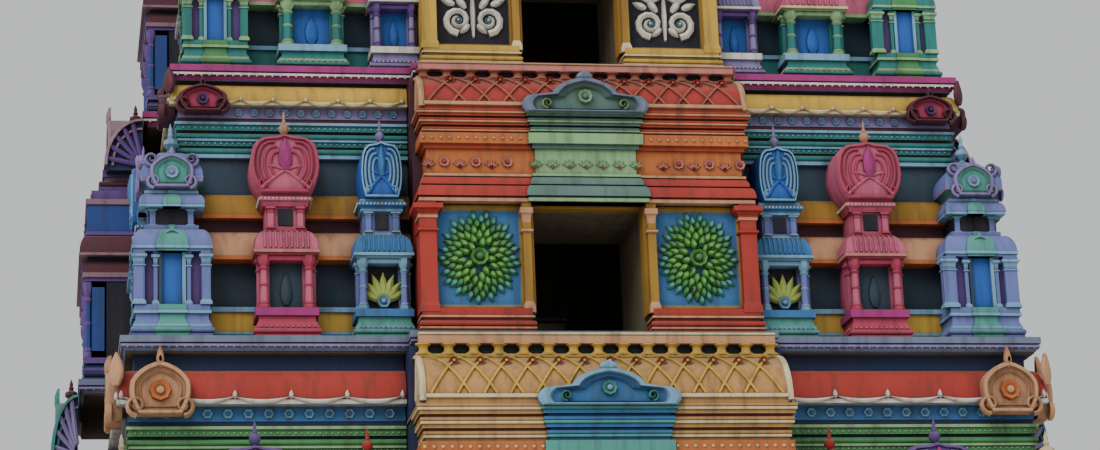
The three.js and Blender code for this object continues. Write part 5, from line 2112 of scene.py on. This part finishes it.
STOREYS = (
    Storey(
        name="tier1", above="tier2", zone_top=2.02, zone_scale=1.0, moulding=0.47, band=0.15, eave=0.36,
        eave_reach=0.17, vault_rise=0.62, vault_top=3.13, ridge_rise=0.16, wall=0.80, medallion=1.15,
        swag_pitch=0.58, middle_width=1.0, volutes=False,
        walls=WallColours(*coats("OLIVE DARK_GREEN GREEN OLIVE PALE_GREEN SLATE PALE_GREEN GREEN PALE_GREEN "
                                 "BLUE SKY RED WHITE NAVY")),
        bays=BayColours(*coats("GREEN CREAM OCHRE MAROON PEACH YELLOW GREEN OLIVE TERRACOTTA SAND PEACH "
                               "ORANGE SAND SAND YELLOW BLUE AQUA SKY BLUE")),
        corners=CornerColours(*coats("SKY GREEN MAROON PURPLE ORANGE CREAM TEAL")),
        shrines=(PURPLE_SHRINE, RED_SHRINE), end=SEA_END, gable=coats("PEACH PEACH ORANGE"),
        ledge=coats("DARK_GREEN MAGENTA CREAM"),
        slots=("ledge_magenta_enamel", "wall_teal_enamel", "bay_gold_enamel", "shrine_lavender_enamel"),
    ),
    Storey(
        name="tier2", above="tier3", zone_top=2.02, zone_scale=1.0, moulding=0.43, band=0.12, eave=0.23,
        eave_reach=0.13, vault_rise=0.50, vault_top=2.88, ridge_rise=0.10, wall=0.70, medallion=0.95,
        swag_pitch=0.33, middle_width=1.0, volutes=False,
        walls=WallColours(*coats("YELLOW SLATE PEACH OCHRE ORANGE SLATE SKY TEAL SKY LAVENDER SKY YELLOW "
                                 "CREAM MAROON")),
        bays=BayColours(*coats("RED PEACH RED BLUE BRIGHT_GREEN GREEN AQUA OCHRE RED ORANGE SALMON ORANGE "
                               "VERMILION RED TERRACOTTA GREY_GREEN PALE_GREEN BLUE_GREY GREY_GREEN")),
        corners=CornerColours(*coats("PERIWINKLE AQUA AZURE PURPLE SLATE SKY LAVENDER")),
        shrines=(PINK_SHRINE, BLUE_SHRINE), end=SHADED_PLUM_END, gable=coats("MAROON ROSE PURPLE"),
        ledge=coats("NAVY BLUE_GREY LAVENDER"),
        slots=("ledge_blue_grey_enamel", "wall_ochre_enamel", "bay_red_enamel", "shrine_lavender_enamel"),
    ),
    Storey(
        name="tier3", above="roof", zone_top=1.82, zone_scale=0.9, moulding=0.34, band=0.11, eave=0.21,
        eave_reach=0.12, vault_rise=0.43, vault_top=2.58, ridge_rise=0.10, wall=0.60, medallion=0.85,
        swag_pitch=0.3, middle_width=1.28, volutes=True,
        walls=WallColours(*coats("TEAL SLATE PINK TEAL PALE_GREEN MAROON CREAM BLUE SKY PINK CREAM GREEN "
                                 "WHITE NAVY")),
        bays=BayColours(*coats("YELLOW CREAM YELLOW NIGHT WHITE SKY GREEN OCHRE ROSE LAVENDER WHITE PINK "
                               "PURPLE TEAL YELLOW MAUVE LAVENDER ORANGE RED")),
        corners=CornerColours(*coats("TEAL GREEN AZURE PURPLE SKY PALE_GREEN BLUE")),
        shrines=(SEA_SHRINE, LILAC_SHRINE), end=SHADED_PLUM_END, gable=coats("PEACH ROSE CREAM"),
        ledge=coats("PURPLE MAGENTA WHITE"),
        slots=("ledge_magenta_enamel", "wall_green_enamel", "bay_yellow_enamel", "shrine_green_enamel"),
    ),
)


# Gate storey

STONE, WASH = Coat.GRANITE, Coat.LIMEWASH


@dataclass
class GateStorey:
    """The granite gate storey: plinths, pilastered flanks, two door frames, floor, ceiling and cornice."""

    plinth_reach: float = 0.20
    bay_half: float = 2.20
    bay_step: float = 0.30
    passage_edge: float = 1.3003    # a hair past the passage's half width, clear of its lining
    door_half: float = 1.00
    skin: float = 0.8               # thickness of the dressed masonry round the core
    inset: float = 0.09             # from the plinth's wall line in to the flank's
    course_rise: float = 0.285      # height of a course of dressed stone

    def plan(self) -> tuple[float, float]:
        """Half width and half depth of the gate's flanks, from the plinth."""
        low = box("plinth_left")[0]
        return -low[0] - self.plinth_reach, -low[1] - self.plinth_reach - self.bay_step

    def left_path(self, inset: float = 0.0) -> Array:
        """The left half of the gate's stepped plan, from the passage's rear end round to its front.

        Args:
            inset: how far inside the plinth's wall line it runs.

        Returns:
            Plan points, open along the passage.
        """
        x, y = np.array(self.plan()) - inset
        bay, step, edge = self.bay_half - inset, y + self.bay_step, self.passage_edge
        return np.array([
            (-edge, step), (-bay, step), (-bay, y), (-x, y), (-x, -y), (-bay, -y), (-bay, -step),
            (-edge, -step),
        ])

    def plinth(self) -> Shape:
        """The moulded plinth of the left flank, with petals and joints.

        Returns:
            The plinth.
        """
        stack = courses([
            (FLAT, 0.26, 0.2), (FLAT, 0.04, 0.19, 0.14), (FLAT, 0.2, 0.14), (WAVE, 0.12, 0.14, 0.06),
            (FLAT, 0.14, 0.06), (ROUND, 0.2, 0.07), (FLAT, 0.04, 0.05), (FLAT, 0.1, 0.06),
        ], coat=STONE)
        path = self.left_path()
        return Shape(
            banded(path, stack, 0.0, False, -self.skin), self.rubble(path, 0.0, box("plinth_left")[1, 2]),
            leaf(0.11, 0.055, 0.02, STONE).along(path, 0.105, 0.53, 0.14, False, 0.05),
            block(-0.006, 0.006, -0.004, 0.05, 0, 0.26, WASH, 0.001).along(path, 0.2, 0.0, 0.9, False, 0.1),
        )

    def rubble(self, path: Array, foot: float, top: float) -> Shape:
        """The core between the left flank's skins, with its flat side along the passage."""
        y = path[0, 1] - self.skin
        return block(path[3, 0] + self.skin / 2, path[-1, 0], -y, y, foot, top, STONE)

    def stones(self, path: Array, foot: float, top: float) -> Shape:
        """Dressed stones in courses along a wall, every other course half a stone on.

        Args:
            path: the wall's plan.
            foot: height of the lowest course.
            top: height that the highest one ends under.

        Returns:
            The stones' faces.
        """
        rise = self.course_rise
        face = rectangle(-0.3, 0.3, 0.0, rise - 0.02)
        stone = embossed(face, [(1, -0.02, STONE), (1, 0.012, STONE), (0.95, 0.022, STONE)], (0.0, rise / 2))
        return Shape(*[
            stone.along(path, 0.0, level, 0.62, False, 0.04 + 0.11 * (i % 2))
            for i, level in enumerate(np.arange(foot, top - rise, rise))
        ])

    def flank(self) -> Shape:
        """The left flank above the plinth: coursed stone, pilasters, niches and base and head bands.

        Returns:
            The flank.
        """
        foot, top = box("plinth_left")[1, 2], box("gate_wall_left")[1, 2]
        path, rise = self.left_path(self.inset), top - foot
        stack = courses([
            (FLAT, 0.09, 0.11), (WAVE, 0.08, 0.1, 0.03), (FLAT, 0.05, 0.05), (FLAT, rise - 0.44, 0.0),
            (FLAT, 0.05, 0.05), (COVE, 0.07, 0.05, 0.1), (FLAT, 0.1, 0.11),
        ], coat=STONE)
        x, y = np.array(self.plan()) - self.inset
        spots = [(px, side * y, foot + 0.2) for side in (-1, 1) for px in (-5.54, -4.45, -3.59, -2.70)]
        spots += [(-x, py, foot + 0.2) for py in (-3.69, -2.2, -0.74, 0.74, 2.2, 3.69)]
        posts = self.post(rise - 0.4).repeated(spots, [0.0] * 4 + [pi] * 4 + [-QUARTER] * 6)
        niches = self.niche().repeated([(-4.02, -y, foot + 0.5), (-4.02, y, foot + 0.5)], [0.0, pi])
        length = y - 0.31
        inner = np.array([(-self.passage_edge, -length), (-self.passage_edge, length)])
        return Shape(
            banded(path, stack, foot, False, -self.skin), self.rubble(path, foot, top), posts, niches,
            self.stones(path, foot + 0.26, top - 0.2), self.stones(inner, foot + 0.02, top),
        )

    def post(self, rise: float) -> Shape:
        """A pilaster of the gate: square foot, narrower shaft, cushion and bracket, and two flowers.

        Args:
            rise: its height.

        Returns:
            The pilaster, standing on the origin.
        """
        stack = courses([
            (FLAT, 0.12, 0), (FLAT, 0.02, 0.0, -0.03), (FLAT, 0.52, -0.025), (FLAT, 0.02, -0.02, 0.0),
            (FLAT, 0.08, 0.0), (ROUND, 0.06, -0.02), (COVE, 0.06, -0.03, 0.02), (FLAT, 0.04, 0.02),
            (COVE, 0.06, -0.02, 0.04), (FLAT, 0.02, 0.04),
        ], rise, STONE)
        flower = rosette(0.08, 8, 0.02, STONE, STONE)
        return Shape(
            banded(rectangle(-0.13, 0.13, -0.07, 0.05), stack),
            flower.repeated([(0, -0.07, rise * 0.06), (0, -0.065, rise * 0.72)]),
        )

    def niche(self) -> Shape:
        """A niche of the gate with slim posts, an eave and a horseshoe gable, on the wall plane.

        Returns:
            The niche, facing -Y.
        """
        eave = courses([(FLAT, 0.04, 0.06), (ROLL, 0.14, 0.055, -0.01)], coat=STONE)
        sill = courses([(FLAT, 0.05, 0.03), (WAVE, 0.06, 0.03, 0.0), (FLAT, 0.05, 0.02)], coat=STONE)
        return Shape(
            pilaster(0.035, 0.07, 1.6, STONE, STONE).placed(0.225).both_sides(),
            banded(rectangle(-0.3, 0.3, -0.04, 0.02), eave, 1.6),
            banded(rectangle(-0.27, 0.27, -0.05, 0.02), sill, -0.16),
            block(-0.19, 0.19, -0.026, 0.02, 0.0, 1.6, STONE),
            nasi(0.2, 0.25, 0.42, 0.06, (STONE,) * 3, back=0.02).placed(0, -0.02, 1.78),
            palmette(0.2, 7, 0.03, STONE, STONE).placed(0, -0.03, 0.3),
        )

    def door_frame(self) -> Shape:
        """The front door frame: jambs and lintel in three receding bands, with rows of flowers.

        Returns:
            The frame.
        """
        (_, front, floor), (edge, back, top) = box("gate_frame_front")
        door, door_top, face = self.door_half, top - 0.45, front + 0.075
        bands = []
        for reach, step in ((0.16, 0.0), (0.1, 0.035), (0.045, 0.06)):
            x, z = door + reach, door_top + reach
            bands += [
                block(x - 0.055, x, front + step, back, floor, z - 0.055, STONE).both_sides(),
                block(-x, x, front + step, back, z - 0.055, z, STONE),
            ]
        creeper = xyz(door + 0.235, face, np.arange(floor + 0.25, door_top, 0.2))
        return Shape(
            *bands, block(door, edge, face, back, floor, door_top, STONE).both_sides(),
            block(-edge, edge, face, back, door_top, top, STONE),
            rosette(0.11, 10, 0.03, STONE, STONE).repeated(xyz(np.linspace(-0.9, 0.9, 7), face, top - 0.14)),
            rosette(0.045, 6, 0.02, STONE, STONE).repeated(creeper).both_sides(),
        )

    def slabs(self, node: str, pitch: float, gap: float) -> Shape:
        """Stone slabs laid side by side across the passage, in place of a node.

        Args:
            node: the CAD node.
            pitch: about how deep a slab is.
            gap: half the width of a joint.

        Returns:
            The slabs on the bed that shows in their joints.
        """
        (x0, y0, z0), (x1, y1, z1) = box(node)
        edges = np.linspace(y0, y1, round((y1 - y0) / pitch) + 1)
        return Shape(block(x0, x1, y0, y1, z0, z1 - 0.012, STONE), *[
            block(x0, x1, a + gap, b - gap, z0 + 0.004, z1, STONE) for a, b in zip(edges, edges[1:])
        ])

    def cornice(self) -> Shape:
        """The limewashed cornice: lotus course, kapota with small gables, and the deck course.

        Returns:
            The cornice.
        """
        foot, top = box("gate_cornice")[:, 2]
        (x, y), bay = self.plan(), self.bay_half
        step = y + self.bay_step
        half = np.array([(x, -y), (x, y), (bay, y), (bay, step), (-bay, step), (-bay, y)])
        path = np.roll(np.vstack([half, -half]), 5, axis=0)
        stack = courses([
            (FLAT, 0.08, 0.06), (COVE, 0.12, 0.02, 0.1), (FLAT, 0.06, 0.26), (ROLL, 0.34, 0.25, 0.02),
            (FLAT, 0.1, 0.0), (FLAT, 0.05, 0.05), (FLAT, top - foot - 0.97, 0.0), (ROUND, 0.1, 0.02),
            (FLAT, 0.12, 0.06),
        ], coat=WASH)
        gable = nasi(0.1, 0.135, 0.3, 0.05, (WASH, STONE, WASH), back=0.12, curled=False)
        return Shape(
            banded(path, stack, foot), leaf(0.1, 0.06, 0.02, WASH).along(path, 0.07, foot + 0.09, 0.13),
            gable.along(path, 0.22, foot + 0.22, 0.95, True, 0.1),
            block(-0.045, 0.045, -0.05, 0.02, 0, 0.1, WASH).along(path, 0.0, top - 0.33, 0.2),
        )

    def build(self) -> None:
        """Builds every piece of the gate storey."""
        slot, plinth, flank = "gate_granite", self.plinth(), self.flank()
        for side, turn in (("left", 0.0), ("right", pi)):
            make_piece(f"plinth_{side}_stone", plinth.placed(turn=turn), f"plinth_{side}")
            make_piece(f"gate_wall_{side}_stone", flank.placed(turn=turn), f"gate_wall_{side}")
        make_pair(("gate_frame_front", "gate_frame_rear"), "stone", self.door_frame())
        for node, pitch, gap in (("passage_floor", 0.7, 0.006), ("passage_ceiling", 0.6, 0.01)):
            make_piece(f"{node}_slabs", self.slabs(node, pitch, gap), node)
        make_piece("gate_cornice_stone", self.cornice(), "gate_cornice")


# Roof

@dataclass
class BarrelRoof:
    """The roof: ledge, neck with windows, barrel vault, horseshoe gables and pot finials."""

    neck_x: float = 3.30
    neck_y: float = 1.62
    neck_wall: float = 0.40
    window_half: float = 0.40
    window_foot: float = 0.18
    window_top: float = 0.78
    barrel_swell: float = 1.767     # half the barrel's width where it is widest
    barrel_rise: float = 1.95
    gable_foot: float = 1.634       # half width at the foot of the barrel and its gables
    gable_swell: float = 1.9
    shell: float = 0.26
    pots: int = 5

    def neck(self) -> Shape:
        """The neck: pilastered wall with a window on each long side.

        Returns:
            The neck.
        """
        (_, _, foot), (_, _, top) = box("roof_neck")
        wall, trim, pink, cream = Coat.PURPLE, Coat.LAVENDER, Coat.PINK, Coat.CREAM
        x, y, w, inner = self.neck_x, self.neck_y, self.window_half, -self.neck_wall
        low, high = self.window_foot, self.window_top
        lower = [(FLAT, 0.05, 0.06, pink), (ROUND, 0.07, 0.045, trim), (FLAT, 0.04, 0.06, cream),
                 (FLAT, 0.02, 0.0, wall)]
        upper = [(FLAT, 0.03, 0.03, cream), (COVE, 0.05, 0.03, 0.12, trim),
                 (FLAT, top - foot - high - 0.08, 0.15, pink)]
        ring = rectangle(-x, x, -y, y)
        half_ring = np.array([(-w, y), (-x, y), (-x, -y), (-w, -y)])
        side = banded(half_ring, [(FLAT, high - low, 0.0, wall)], foot + low, False, inner)
        places, turns = ranks(ring, 0.0, foot + 0.16, 0.72)
        clear = np.abs(places[:, 0]) > w + 0.12
        post = pilaster(0.07, 0.05, high - 0.16, trim, Coat.YELLOW)
        window = Shape(
            block(w, w + 0.08, -0.06, 0.05, foot + low - 0.02, foot + high, Coat.YELLOW).both_sides(),
            block(-w - 0.08, w + 0.08, -0.06, 0.05, foot + high - 0.01, foot + high + 0.06, Coat.YELLOW),
        )
        return Shape(
            banded(ring, lower, foot, True, inner), side.both_fronts(),
            banded(ring, upper, foot + high, True, inner), post.repeated(places[clear], turns[clear]),
            window.placed(0, -y).both_fronts(),
        )

    def vault(self) -> Shape:
        """The barrel shell with its ribs, bands of scales, the ridge, petals and gables.

        Its inner face lies the shell's thickness inside the outline, and no lower than its foot.

        Returns:
            The barrel.
        """
        (_, _, foot), (half, _, top) = box("roof_vault")
        skin, gold = Coat.TEAL, Coat.YELLOW
        outer = horseshoe(self.gable_foot, self.barrel_swell, self.barrel_rise, 9)
        way = np.gradient(outer, axis=0)
        out = np.stack([way[:, 1], -way[:, 0]], axis=-1) / np.linalg.norm(way, axis=1)[:, None]
        inner = outer - out * self.shell
        inner[:, 1] = np.clip(inner[:, 1], 0.0, None)
        inner[0, 1] = inner[-1, 1] = 0.0
        y, z = np.vstack([outer, inner[::-1]]).T
        rows = xyz(np.linspace(-half, half, 3)[:, None], y, z)
        rib = ribbons(xyz(0.0, *outer.T), xyz(0.0, *out.T), 0.045, 0.05, gold, SQUARE_BAR)
        ridge = [(FLAT, 0.06, 0.02, gold), (ROUND, 0.05, 0.0, Coat.ROSE), (FLAT, 0.04, 0.01, gold)]
        front = np.array([(-half, -1.64), (half, -1.64)])
        petals = leaf(0.16, 0.08, 0.03, Coat.PINK).along(front, 0.02, 0.02, 0.17, False)
        small = nasi(0.2, 0.26, 0.5, 0.08, (gold, Coat.ROSE, Coat.SKY), back=0.2)
        big = nasi(0.4, 0.5, 0.95, 0.09, (gold, Coat.DEEP_BLUE, Coat.PINK), back=0.25)
        row = small.repeated([(x, -1.85, 0.06) for x in (-2.35, -1.35, 1.35, 2.35)])
        return Shape(
            sheet(rows, skin, True), lid(rows[0], skin, True), lid(rows[-1], skin),
            rib.repeated(xyz(np.linspace(-half + 0.06, half - 0.06, 9), 0.0, 0.0)),
            self.scales(half, outer, out),
            banded(rectangle(-half, half, -0.17, 0.17), ridge, top - foot - 0.15),
            Shape(petals, row, big.placed(0, -1.86, 0.06)).both_fronts(),
        ).placed(z=foot)

    def scales(self, half: float, outer: Array, out: Array) -> Shape:
        """Rows of overlapping leaf scales on the barrel, leant back onto its curve.

        A point (x, y, z) of a leaf leans about X to (x, y cos a + z sin a, z cos a - y sin a).

        Args:
            half: half the barrel's length.
            outer: its outline as (y, z).
            out: the ways out of it.

        Returns:
            The scales of both sides.
        """
        length = np.concatenate([[0], np.cumsum(np.linalg.norm(np.diff(outer, axis=0), axis=1))])
        xs = np.arange(-half + 0.14, half - 0.1, 0.17)
        shape = Shape()
        for i, distance in enumerate(np.arange(0.45, length[-1] / 2 - 0.1, 0.2)):
            y, z, out_y, out_z = [np.interp(distance, length, line) for line in (*outer.T, *out.T)]
            angle = np.arctan2(out_z, out_y)
            scale = leaf(0.26, 0.086, 0.022, Coat.GREEN if i % 2 else Coat.SKY).placed(tilt=pi)
            for patch in scale.patches:
                px, py, pz = patch.points.T
                patch.points = xyz(px, py * cos(angle) + pz * sin(angle), pz * cos(angle) - py * sin(angle))
            row = scale.repeated(xyz(xs + 0.085 * (i % 2), -y, z))
            shape = Shape(shape, row.both_fronts())
        return shape

    def gable(self) -> Shape:
        """The horseshoe gable that closes an end of the barrel, facing -Y.

        Returns:
            The gable, standing on the origin.
        """
        low, high = box("roof_gable_left")
        rise = high[2] - low[2]
        outline = horseshoe(self.gable_foot, self.gable_swell, rise, 9)
        centre = (0.0, rise * 0.42)
        bands = (
            (1, 0.0, "YELLOW"), (1, 0.12, "YELLOW"), (0.97, 0.17, "ORANGE"), (0.9, 0.17, "ORANGE"),
            (0.88, 0.12, "ROSE"), (0.8, 0.12, "ROSE"), (0.78, 0.16, "CREAM"), (0.72, 0.16, "CREAM"),
            (0.7, 0.1, "TEAL"), (0.58, 0.1, "TEAL"), (0.56, 0.14, "YELLOW"), (0.5, 0.14, "YELLOW"),
            (0.48, 0.07, "DEEP_BLUE"),
        )
        reach = (0.935 * (outline - centre))[1:-1]
        rim = centre + reach
        way = np.arctan2(reach[:, 1], reach[:, 0]) - QUARTER
        paint = coats("YELLOW MAROON ORANGE")
        return Shape(
            embossed(outline, [(scale, step, Coat[name]) for scale, step, name in bands], centre),
            leaf(0.2, 0.09, 0.05, Coat.CREAM).repeated(xyz(rim[:, 0], -0.15, rim[:, 1]), 0.0, way, 0.6),
            palmette(0.5, 9, 0.06, Coat.LEAF, Coat.ORANGE).placed(0, -0.08, rise * 0.56),
            nasi(0.42, 0.62, 1.05, 0.12, paint).placed(0, -0.16, 0.2),
        )

    def pot(self) -> Shape:
        """A spun pot finial, from a profile 1.15 m high.

        Returns:
            The pot, standing on the origin.
        """
        low, high = box("kalasam_1")
        profile = np.array([
            (0.0, 0.0), (0.16, 0.0), (0.165, 0.03), (0.15, 0.06), (0.1, 0.09), (0.085, 0.13), (0.11, 0.17),
            (0.2, 0.24), (0.25, 0.32), (0.262, 0.4), (0.25, 0.48), (0.2, 0.55), (0.12, 0.6), (0.09, 0.62),
            (0.1, 0.64), (0.135, 0.67), (0.13, 0.69), (0.08, 0.72), (0.06, 0.76), (0.075, 0.8), (0.085, 0.84),
            (0.075, 0.88), (0.04, 0.96), (0.02, 1.05), (0.0, 1.15),
        ])
        return turned(profile * ((high[2] - low[2]) / 1.15), Coat.BRASS, 28)

    def build(self) -> None:
        """Builds every piece of the roof."""
        ledge = Ledge("roof_floor", coats("NIGHT MAGENTA WHITE")).shape()
        make_piece("roof_ledge", ledge, "roof_floor")
        make_piece("roof_neck_plaster", self.neck(), "roof_neck")
        make_piece("roof_vault_plaster", self.vault(), "roof_vault")
        gable, pot = self.gable(), self.pot()
        for node, face, turn in (("roof_gable_left", 1, -QUARTER), ("roof_gable_right", 0, QUARTER)):
            corners = box(node)
            piece = gable.placed(corners[face, 0], 0, corners[0, 2], turn)
            make_piece(f"{node}_plaster", piece, node)
        for node in (f"kalasam_{i}" for i in range(1, self.pots + 1)):
            low, high = box(node)
            x, y = (low[:2] + high[:2]) / 2
            make_piece(f"{node}_spun", pot.placed(x, y, low[2]), node)


# Studio

@dataclass
class Studio:
    """Camera at the photograph's viewing angle, pale floor and soft light."""

    place: tuple[float, float, float] = (-5.43, -31.36, 1.6)
    yaw: float = radians(10.10)
    pitch: float = radians(15.91)
    roll: float = radians(-2.305)
    focal_pixels: float = 2937.0
    image_width: float = 1100.0
    sensor: float = 36.0
    floor_reach: float = 160.0

    def add(self, name: str, data: bpy.types.ID) -> bpy.types.Object:
        """Links a new object to the scene.

        Args:
            name: the object's name.
            data: its mesh, camera or light.

        Returns:
            The object.
        """
        thing = bpy.data.objects.new(name, data)
        bpy.context.scene.collection.objects.link(thing)
        return thing

    def camera(self) -> None:
        """Sets the camera: forward, right and up from yaw, pitch and roll."""
        level = cos(self.pitch)
        forward = Vector((sin(self.yaw) * level, cos(self.yaw) * level, sin(self.pitch)))
        right = Vector((cos(self.yaw), -sin(self.yaw), 0))
        up = right.cross(forward)
        side = cos(self.roll) * right + sin(self.roll) * up
        top = cos(self.roll) * up - sin(self.roll) * right
        data = bpy.data.cameras.new("camera")
        data.sensor_fit = "HORIZONTAL"
        data.sensor_width = self.sensor
        data.lens = self.focal_pixels / self.image_width * self.sensor
        data.clip_end = 500
        matrix = Matrix((side, top, -forward)).transposed().to_4x4()
        matrix.translation = Vector(self.place)
        camera = self.add("camera", data)
        camera.matrix_world = matrix
        bpy.context.scene.camera = camera

    def lights(self) -> None:
        """A pale sky all round and one wide soft lamp, high on the left of the street front."""
        world = bpy.data.worlds.new("soft sky")
        world.use_nodes = True
        background = world.node_tree.nodes["Background"]
        background.inputs["Color"].default_value = linear("E8EAEC")
        background.inputs["Strength"].default_value = 0.85
        bpy.context.scene.world = world
        data = bpy.data.lights.new("soft lamp", "SUN")
        data.energy = 1.6
        data.angle = radians(35)
        self.add("soft lamp", data).rotation_euler = (radians(48), radians(-8), radians(-32))

    def floor(self) -> None:
        """A wide pale floor at ground level, a hair under the tower's foot."""
        x, y = np.meshgrid(*[np.linspace(-self.floor_reach, self.floor_reach, 9)] * 2)
        patch = sheet(xyz(x, y, -0.002), STONE)
        mesh = bpy.data.meshes.new("floor")
        mesh.from_pydata(patch.points.tolist(), [], patch.faces.tolist())
        mesh.materials.append(StudioPaper("studio paper, rolled", "CFCDC8").material())
        self.add("floor", mesh)

    def build(self) -> None:
        """Builds the studio."""
        self.camera()
        self.lights()
        self.floor()


def main() -> None:
    logging.basicConfig(level=logging.INFO, format="%(name)s %(message)s", stream=sys.stdout)
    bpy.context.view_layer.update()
    Studio().build()
    GateStorey().build()
    for storey in STOREYS:
        StoreyBuilder(storey).build()
    BarrelRoof().build()
    bpy.context.view_layer.update()


if __name__ == "__main__":
    main()
